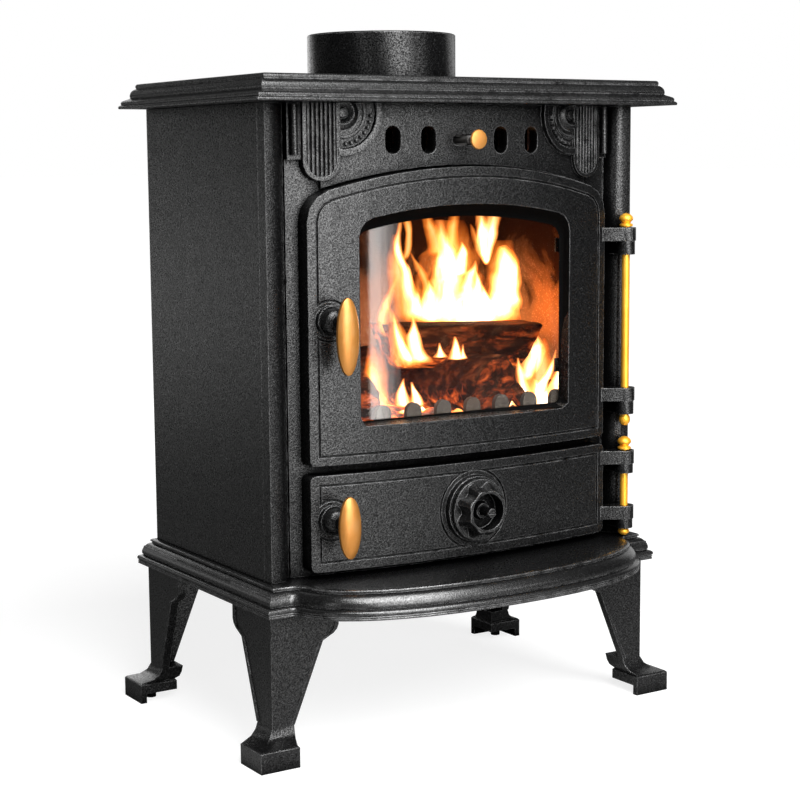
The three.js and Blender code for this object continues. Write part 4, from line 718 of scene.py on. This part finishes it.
# Each flame in millimetres: name, depth, and (x, z, half width) from its foot to its tip
FLAMES = [
    ("core_left", 35, [(61, 366, 25), (59, 382, 21), (60, 398, 18), (63, 412, 17), (64, 425, 15),
        (63, 436, 10), (59, 444, 6), (56, 455, 6), (54, 467, 5)]),
    ("core_peak", 45, [(82, 410, 8), (86, 424, 6), (89, 436, 4), (87, 444, 1)]),
    ("core_fan", 55, [(68, 430, 12), (62, 448, 9), (54, 464, 6), (50, 476, 4)]),
    ("core_fan_right", 55, [(80, 430, 11), (82, 450, 7), (85, 465, 6), (87, 478, 5)]),
    ("core_right", 35, [(122, 363, 21), (126, 379, 16), (129, 395, 14), (131, 411, 13), (132, 425, 11),
        (131, 435, 7), (131, 440, 3)]),
    ("right_lick", 45, [(146, 393, 6), (150, 410, 5), (152, 424, 4), (148, 436, 1)]),
    ("top_left_strand", 55, [(123, 419, 1), (116, 435, 4), (110, 450, 4), (105, 461, 1)]),
    ("top_right_strand", 55, [(124, 419, 2), (127, 438, 6), (130, 458, 8), (136, 478, 8)]),
    ("top_middle", 50, [(118, 425, 2), (116, 445, 6), (114, 462, 6), (112, 477, 5)]),
    ("middle", 30, [(92, 365, 20), (94, 381, 13), (96, 396, 7), (95, 410, 3), (94, 416, 1)]),
    ("middle_right", 30, [(109, 364, 13), (107, 380, 7), (104, 392, 4), (101, 401, 1)]),
    ("left_tall", 30, [(32, 368, 15), (23, 382, 10), (16, 398, 7), (12, 416, 5), (5, 432, 5),
        (2, 447, 4), (4, 460, 3), (6, 470, 2)]),
    ("left_loop", 35, [(37, 375, 9), (38, 389, 4), (38, 403, 4), (32, 419, 5), (24, 429, 2),
        (20, 436, 1)]),
    ("left_upper", 30, [(9, 428, 3), (14, 440, 4), (15, 456, 3), (11, 469, 4), (9, 476, 3)]),
    ("far_left", 20, [(-16, 356, 7), (-22, 372, 6), (-18, 389, 5), (-10, 406, 4), (-3, 417, 1)]),
    ("far_left_low", 0, [(-38, 290, 11), (-43, 310, 10), (-48, 329, 7), (-48, 344, 3)]),
    ("low_left_one", -20, [(-3, 335, 11), (-10, 348, 9), (-13, 361, 6), (-12, 372, 3), (-13, 380, 1)]),
    ("low_left_two", -20, [(-16, 336, 8), (-26, 352, 6), (-32, 368, 3), (-35, 384, 1)]),
    ("low_small_one", -22, [(16, 339, 8), (16, 346, 3), (16, 353, 1)]),
    ("low_small_two", -22, [(36, 336, 10), (34, 345, 5), (33, 358, 1)]),
    ("low_small_three", -22, [(42, 336, 5), (42, 343, 2), (43, 350, 1)]),
    ("right_big", -10, [(126, 308, 7), (129, 322, 11), (136, 336, 11), (140, 345, 5), (139, 354, 1)]),
    ("right_near", -22, [(117, 291, 11), (113, 304, 7), (110, 318, 5), (108, 328, 2), (107, 334, 1)]),
    ("right_mid", -24, [(129, 292, 12), (134, 303, 6), (142, 314, 4), (149, 326, 3), (153, 338, 1)]),
    ("right_far", -32, [(143, 295, 11), (148, 309, 6), (153, 320, 5), (155, 331, 1)]),
    ("right_low", -20, [(97, 285, 15), (91, 298, 7), (83, 310, 4), (76, 323, 1)]),
    ("right_floor", -15, [(142, 280, 20), (139, 292, 12), (135, 302, 6), (132, 310, 2)]),
    ("veil_main", 75, [(89, 360, 43), (88, 384, 39), (90, 404, 34), (92, 424, 28), (94, 445, 23),
        (89, 465, 19)]),
    ("veil_right", 75, [(154, 356, 27), (156, 381, 22), (158, 402, 20), (156, 422, 18),
        (150, 443, 16)]),
    ("core_bridge", 45, [(95, 361, 44), (93, 372, 42), (91, 382, 33), (90, 392, 20), (90, 400, 6)]),
    ("core_shoulder", 40, [(50, 366, 17), (47, 380, 12), (46, 392, 7), (46, 401, 4), (44, 408, 1)]),
    ("middle_tall", 45, [(95, 380, 14), (95, 396, 9), (97, 408, 6), (102, 417, 4), (104, 425, 1)]),
    ("right_wide", 50, [(141, 373, 19), (145, 393, 15), (146, 409, 13), (144, 424, 10), (141, 434, 6),
        (138, 438, 2)]),
    ("low_veil_left", -12, [(-12, 330, 20), (-19, 347, 14), (-26, 365, 8), (-33, 382, 4),
        (-38, 396, 1)]),
    ("left_back_veil", 80, [(48, 364, 20), (41, 387, 15), (35, 411, 11), (30, 432, 7), (31, 452, 3)]),
    ("right_veil", -5, [(144, 284, 28), (144, 304, 22), (146, 322, 15), (151, 338, 7), (152, 348, 2)]),
    ("ember_lick_one", -30, [(-30, 296, 8), (-33, 307, 6), (-32, 316, 3), (-30, 323, 1)]),
    ("ember_lick_two", -30, [(-17, 295, 7), (-17, 305, 5), (-20, 313, 2), (-22, 319, 1)]),
    ("left_low_glow", 10, [(-34, 284, 17), (-38, 308, 14), (-36, 330, 11), (-40, 352, 5)]),
]
HOT = [(0.0, (0.9, 0.15, 0.015)), (0.3, (1.0, 0.36, 0.08)), (0.55, (1.0, 0.6, 0.25)),
       (0.8, (1.0, 0.8, 0.52)), (1.0, (1.0, 0.92, 0.78))]
WARM = [(0.0, (0.8, 0.1, 0.008)), (0.4, (1.0, 0.26, 0.03)), (0.7, (1.0, 0.42, 0.09)),
        (1.0, (1.0, 0.6, 0.22))]
HOT_POWER = 3.6
WARM_POWER = 1.5

# The flames that are thin and orange; the others are white-hot
WARM_FLAMES = ("core_fan", "core_fan_right", "top_left_strand", "left_loop", "far_left",
               "far_left_low", "left_upper", "right_lick", "low_veil_left", "right_veil",
               "left_back_veil", "veil_main", "veil_right", "left_low_glow")

# A flame's veil in metres, turned to the left front and wrapped round the flame
FLAME_TURN = math.radians(-24)
FLAME_HALF_WRAP = math.radians(75)
FLAME_BULGE = 0.55
FLAME_SIDES = 13
FLAME_STEPS = 9
FLAME_SWAY = 0.0012
SWAYS_PER_METRE = 70
FLAME_FULLNESS = 1.12
FLAME_UNEVENNESS = 0.2
SWELLS_PER_METRE = 90
FLAME_THINNEST = 0.0004
FLAME_SEED_STEP = 3.7


def smooth_between(before, one, two, after, share):
    """A value on the smooth curve through four knots, at a share of the way from one to two."""
    return 0.5 * (2 * one + (two - before) * share
                  + (2 * before - 5 * one + 4 * two - after) * share * share
                  + (3 * one - before - 3 * two + after) * share ** 3)


def flame_spine(path, spot, seed):
    """Middle x, height and half width of a flame, at a spot counted in knots of its path."""
    k = min(int(spot), len(path) - 2)
    knots = path[max(k - 1, 0)], path[k], path[k + 1], path[min(k + 2, len(path) - 1)]
    x, z, half = (smooth_between(*values, spot - k) for values in zip(*knots))
    x += FLAME_SWAY * noise.noise(Vector((seed, z * SWAYS_PER_METRE, 0.3)))
    swell = noise.noise(Vector((seed + 5, z * SWELLS_PER_METRE, 0.7)))
    half *= FLAME_FULLNESS + FLAME_UNEVENNESS * swell
    return x, z, max(FLAME_THINNEST, half)


def flame_shape(depth, path, seed):
    """A curved veil that wraps the front of the flame, with u across and v up the flow."""
    def make(shape):
        uv = shape.loops.layers.uv.new("flow")
        spans = (len(path) - 1) * FLAME_STEPS
        rows, flow = [], {}
        for i in range(spans + 1):
            x, z, half = flame_spine(path, i / FLAME_STEPS, seed)
            row = []
            for j in range(FLAME_SIDES):
                across = j / (FLAME_SIDES - 1)
                angle = (2 * across - 1) * FLAME_HALF_WRAP
                out = half * math.sin(angle) / math.sin(FLAME_HALF_WRAP)
                front = -FLAME_BULGE * half * math.cos(angle)
                vertex = shape.verts.new((
                    x + out * math.cos(FLAME_TURN) - front * math.sin(FLAME_TURN),
                    depth + out * math.sin(FLAME_TURN) + front * math.cos(FLAME_TURN), z))
                flow[vertex] = (across, i / spans)
                row.append(vertex)
            rows.append(row)
        skin(shape, rows, closed=False)
        for face in shape.faces:
            for loop in face.loops:
                loop[uv].uv = flow[loop.vert]
    return make


hot_flame = flame_glow("flame_hot", HOT, HOT_POWER)
warm_flame = flame_glow("flame_warm", WARM, WARM_POWER)
for i, (name, depth, path) in enumerate(FLAMES):
    glow = warm_flame if name in WARM_FLAMES else hot_flame
    knots = [tuple(size * MM for size in knot) for knot in path]
    new_piece("flame_" + name, flame_shape(depth * MM, knots, i * FLAME_SEED_STEP), glow)


# Outlines of the doors and the window, in millimetres, counter-clockwise from the front
ARCH_STEPS = 24
SHOULDER_STEPS = 9
CORNER_STEPS = 3


def arc(x, z, radius, start, end, steps):
    angles = [start + (end - start) * i / steps for i in range(steps + 1)]
    return [(x + radius * math.cos(angle), z + radius * math.sin(angle)) for angle in angles]


def arched_outline(half, low, high, arch, shoulder, foot):
    """Outline with an arched top: half width, bottom, top, and the radii of its corners."""
    centre = high - arch
    corner_x = half - shoulder
    corner_z = centre + math.sqrt((arch - shoulder) ** 2 - corner_x ** 2)
    tilt = math.atan2(corner_z - centre, corner_x)
    return (arc(half - foot, low + foot, foot, -QUARTER, 0, CORNER_STEPS)
            + arc(corner_x, corner_z, shoulder, 0, tilt, SHOULDER_STEPS)
            + arc(0, centre, arch, tilt, 2 * QUARTER - tilt, ARCH_STEPS)[1:-1]
            + arc(-corner_x, corner_z, shoulder, 2 * QUARTER - tilt, 2 * QUARTER, SHOULDER_STEPS)
            + arc(foot - half, low + foot, foot, 2 * QUARTER, 3 * QUARTER, CORNER_STEPS))


def rounded_oblong(half, low, high, radius):
    """Outline of an oblong with four equal round corners."""
    corners = ((half - radius, low + radius), (half - radius, high - radius),
               (radius - half, high - radius), (radius - half, low + radius))
    return [spot for k, (x, z) in enumerate(corners)
            for spot in arc(x, z, radius, QUARTER * (k - 1), QUARTER * k, CORNER_STEPS)]


def inset(form, depth):
    """An arched form drawn in by a depth on all sides."""
    half, low, high, arch, shoulder, foot = form
    return arched_outline(half - depth, low + depth, high - depth, arch - depth,
                          shoulder - depth, foot - depth)


BOW_APEX = -0.10235
BOW_RADIUS = 0.9121


def bow_face(x):
    """How far back the doors' bowed front face is at x, in metres."""
    return BOW_APEX + BOW_RADIUS - math.sqrt(BOW_RADIUS ** 2 - x * x)


# Window bedding: a soot-black lining of the opening, between the door's face and the glass, which also
# paints the reveal's shade

# Forms in millimetres: half width, bottom, top, arch radius, shoulder radius, foot radius
WINDOW_OUTER = (115.5, 291.3, 486.0, 507.0, 18.0, 9.0)
WINDOW_INNER = (113.5, 293.3, 476.5, 497.5, 16.0, 7.0)
BEDDING_INSET = 0.55
BEDDING_LIP = 1.6
BEDDING_SHARES = (0.07, 0.5, 1.0)
BEDDING_GAP = 0.6 * MM


def bedding_shape(shape):
    """Lining from near the door's face back to the glass, ending in a narrow lip on it."""
    glass_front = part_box("door_glass")[0][1] - BEDDING_GAP
    outer, inner = inset(WINDOW_OUTER, BEDDING_INSET), inset(WINDOW_INNER, BEDDING_INSET)
    lip = inset(WINDOW_INNER, BEDDING_INSET + BEDDING_LIP)
    rings = []
    for share in BEDDING_SHARES:
        ring = []
        for (x0, z0), (x1, z1) in zip(outer, inner):
            x, z = (x0 + (x1 - x0) * share) * MM, (z0 + (z1 - z0) * share) * MM
            y = bow_face(x) + (glass_front - bow_face(x)) * share
            ring.append(shape.verts.new((x, y, z)))
        rings.append(ring)
    rings.append([shape.verts.new((x * MM, glass_front, z * MM)) for x, z in lip])
    skin(shape, rings)


# The black lining is bedding and, in part, painted shade on the reveal
new_piece("window_bedding_and_shade", bedding_shape, black_bedding_and_shade(), "main_door")

# Rope seals: four strands laid round a core, squeezed flat in the channel behind each door
ROPE_HALF_WIDTH = 0.00235
ROPE_HALF_DEPTH = 0.0041
ROPE_LAY = 0.022
ROPE_STRANDS = 4
ROPE_SIDES = 6
ROPE_PITCH_MM = 1.6
STRAND_RADIUS = 0.0014
CORE_HALF_WIDTH = 0.75 * ROPE_HALF_WIDTH
CORE_HALF_DEPTH = 0.8 * ROPE_HALF_DEPTH
SEAL_BEHIND_FACE = 0.012

# Doors in millimetres: half width, bottom, top, and the main door's arch and shoulder radius
MAIN_FORM = (163.0, 259.3, 519.0, 540.0, 28.0)
ASH_FORM = (163.0, 165.0, 251.2)
MAIN_SEAL_INSET = 8.75
ASH_SEAL_INSET = 7.0
MAIN_SEAL_FOOT = 0.5
ASH_SEAL_CORNER = 1.5


def evenly(outline, pitch):
    """Points of a closed outline in millimetres, as metres, one pitch apart along it."""
    spots, left = [], 0.0
    for (x0, z0), (x1, z1) in zip(outline, outline[1:] + outline[:1]):
        length = math.hypot(x1 - x0, z1 - z0)
        while left < length:
            share = left / length
            spots.append(((x0 + (x1 - x0) * share) * MM, (z0 + (z1 - z0) * share) * MM))
            left += pitch
        left -= length
    return spots


def rope_shape(outline, strand):
    """One strand of a closed rope; strand None is the core that fills its middle."""
    spots = evenly(outline, ROPE_PITCH_MM)
    turns = round(len(spots) * ROPE_PITCH_MM * MM / ROPE_LAY)

    def make(shape):
        rings = []
        for i, (x, z) in enumerate(spots):
            ahead, past = spots[(i + 1) % len(spots)], spots[i - 1]
            along = Vector((ahead[0] - past[0], ahead[1] - past[1])).normalized()
            out = Vector((along[1], 0, -along[0]))
            centre = Vector((x, bow_face(x) + SEAL_BEHIND_FACE, z))
            wide, deep = CORE_HALF_WIDTH, CORE_HALF_DEPTH
            if strand is not None:
                angle = FULL_TURN * (turns * i / len(spots) + strand / ROPE_STRANDS)
                centre += out * (math.cos(angle) * (ROPE_HALF_WIDTH - STRAND_RADIUS))
                centre.y += math.sin(angle) * (ROPE_HALF_DEPTH - STRAND_RADIUS)
                wide = deep = STRAND_RADIUS
            ring = []
            for k in range(ROPE_SIDES):
                turn = FULL_TURN * k / ROPE_SIDES
                spot = centre + out * (wide * math.cos(turn))
                spot.y += deep * math.sin(turn)
                ring.append(shape.verts.new(spot))
            rings.append(ring)
        skin(shape, rings + rings[:1])
    return make


def rope_seal(node, outline, body):
    """The strands and the core that stand in for a packed seal."""
    for strand in (None, *range(ROPE_STRANDS)):
        name = node + ("_core" if strand is None else f"_strand_{strand + 1}")
        piece = new_piece(name, rope_shape(outline, strand), finishes["rope"], body)
        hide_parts(node)


half, low, high, arch, shoulder = MAIN_FORM
main_rope = arched_outline(half - MAIN_SEAL_INSET, low + MAIN_SEAL_INSET,
                           high - MAIN_SEAL_INSET, arch - MAIN_SEAL_INSET,
                           shoulder - MAIN_SEAL_INSET, MAIN_SEAL_FOOT)
rope_seal("main_door_seal", main_rope, "main_door")
half, low, high = ASH_FORM
ash_rope = rounded_oblong(half - ASH_SEAL_INSET, low + ASH_SEAL_INSET,
                          high - ASH_SEAL_INSET, ASH_SEAL_CORNER)
rope_seal("ash_door_seal", ash_rope, "ash_door")

# Light: wide boxes in front and above, and weak ones beside and behind the stove

# Each box: place, aim, width, height, watts
SOFTBOXES = {
    "front_softbox": ((-0.05, -2.25, 0.5), (-0.05, 0.0, 0.5), 1.3, 1.4, 40),
    "upper_softbox": ((-0.1, -1.75, 1.9), (0.0, -0.17, 0.15), 1.9, 1.8, 128),
    "left_softbox": ((-1.75, -1.15, 0.6), (0.0, 0.0, 0.4), 0.3, 1.0, 2),
    "shoulder_softbox": ((1.35, -2.2, 0.85), (0.0, 0.0, 0.5), 0.6, 0.4, 2.6),
    "rear_softbox": ((0.1, 2.3, 0.6), (0.0, 0.0, 0.35), 1.2, 1.2, 8),
    "right_softbox": ((2.1, 0.9, 0.6), (0.0, 0.0, 0.35), 1.2, 1.2, 4),
    "side_softbox": ((-1.35, 2.1, 0.24), (-0.2, 0.0, 0.24), 1.1, 0.42, 1.0),
}

# Upright strips that show as one fading band in the window's glass: x, width, watts
GLARE_STRIPS = [(0.598, 0.022, 0.26), (0.615, 0.012, 0.1), (0.627, 0.012, 0.06),
                (0.639, 0.012, 0.026)]
GLARE_DISTANCE = 1.2
GLARE_HEIGHT = 0.33
GLARE_LENGTH = 0.7

# The fire's own light on the bricks: place, watts, size, colour
FIRE_POINTS = {
    "fire_right": ((0.125, 0.01, 0.385), 0.5, 0.015, (1.0, 0.3, 0.05)),
    "fire_left": ((-0.11, 0.02, 0.36), 0.8, 0.02, (1.0, 0.2, 0.04)),
    "fire_low": ((0.03, -0.01, 0.345), 0.16, 0.02, (1.0, 0.28, 0.05)),
}


def place_lamp(name, kind, place, watts):
    data = bpy.data.lights.new(name, kind)
    data.energy = watts
    lamp = bpy.data.objects.new(name, data)
    scene.collection.objects.link(lamp)
    lamp.location = place
    lamp.visible_camera = False
    return lamp


def soft_light(name, place, aim, wide, tall, watts):
    """A rectangle of white light that faces its aim."""
    lamp = place_lamp(name, "AREA", place, watts)
    lamp.data.shape = "RECTANGLE"
    lamp.data.size = wide
    lamp.data.size_y = tall
    direction = Vector(aim) - Vector(place)
    lamp.rotation_euler = direction.to_track_quat("-Z", "Y").to_euler()


def fire_point(name, place, watts, size, tint):
    """A small coloured light that shows on the bricks alone, not in metal or glass."""
    lamp = place_lamp(name, "POINT", place, watts)
    lamp.data.shadow_soft_size = size
    lamp.data.color = tint
    lamp.visible_transmission = False
    lamp.visible_glossy = False


for name, form in SOFTBOXES.items():
    soft_light(name, *form)
for i, (x, wide, watts) in enumerate(GLARE_STRIPS):
    soft_light(f"glare_strip_{i + 1}", (x, -GLARE_DISTANCE, GLARE_HEIGHT),
               (x, 0.0, GLARE_HEIGHT), wide, GLARE_LENGTH, watts)
for name, form in FIRE_POINTS.items():
    fire_point(name, *form)

ROOM_GREY = (0.8, 0.8, 0.8)
ROOM_FRONT = 0.03
ROOM_REAR = 0.16
ROOM_FRONT_END = -0.2
ROOM_REAR_START = 0.6


def studio_world():
    """White to the camera and through the glass; to the rest a dim room, brighter behind."""
    world = bpy.data.worlds.new("studio")
    world.use_nodes = True
    tree = world.node_tree
    tree.nodes.clear()
    sky = Graph(tree, tree.nodes.new("ShaderNodeOutputWorld"))
    behind = sky.axis("Y", sky.node("ShaderNodeTexCoord").outputs["Generated"])
    strength = sky.span(behind, ROOM_FRONT_END, ROOM_REAR_START, ROOM_FRONT, ROOM_REAR)
    room = sky.plain("ShaderNodeBackground", ROOM_GREY, strength)
    white = sky.plain("ShaderNodeBackground", WHITE, 1.0)
    seen = sky.combine("MAXIMUM", sky.ray("Camera"), sky.ray("Transmission"))
    sky.show(sky.blend(seen, room, white))
    return world


scene.world = studio_world()

# Floor: the paler patch in front of the stove lights its lower mouldings
FLOOR_REACH = 60.0
FLOOR_GREY = (0.16, 0.16, 0.16)
PATCH_GREY = (0.42, 0.42, 0.42)
PATCH_MIDDLE = (0.0, -0.4, 0.0)
PATCH_INNER = 0.28
PATCH_OUTER = 0.6
SHADOW_GREY = (0.32, 0.32, 0.32)
SHADOW_NEAR = 0.5
SHADOW_FAR = 2.0
GLOW_NEAR = 0.8
GLOW_FAR = 1.0


def floor_shape(shape):
    corners = ((-1, -1), (1, -1), (1, 1), (-1, 1))
    shape.faces.new([shape.verts.new((x * FLOOR_REACH, y * FLOOR_REACH, 0)) for x, y in corners])


def floor_finish():
    """Grey to the light, and near white to the camera with the stove's shadow kept."""
    ground = Paint("floor", roughness=0.9, specular=0.0)
    patch = ground.span(ground.distance(PATCH_MIDDLE), PATCH_INNER, PATCH_OUTER, 1.0, 0.0)
    ground.feed(ground.mix(patch, FLOOR_GREY, PATCH_GREY), "Base Color")
    away = ground.distance((0, 0, 0))
    strength = ground.span(away, SHADOW_NEAR, SHADOW_FAR, GLOW_NEAR, GLOW_FAR)
    glow = ground.plain("ShaderNodeEmission", WHITE, strength)
    seen = ground.stack(ground.plain("ShaderNodeBsdfDiffuse", SHADOW_GREY), glow)
    ground.show(ground.blend(ground.ray("Camera"), ground.shader.outputs["BSDF"], seen))
    return ground.material


floor = mesh_object("floor", floor_shape, floor_finish())
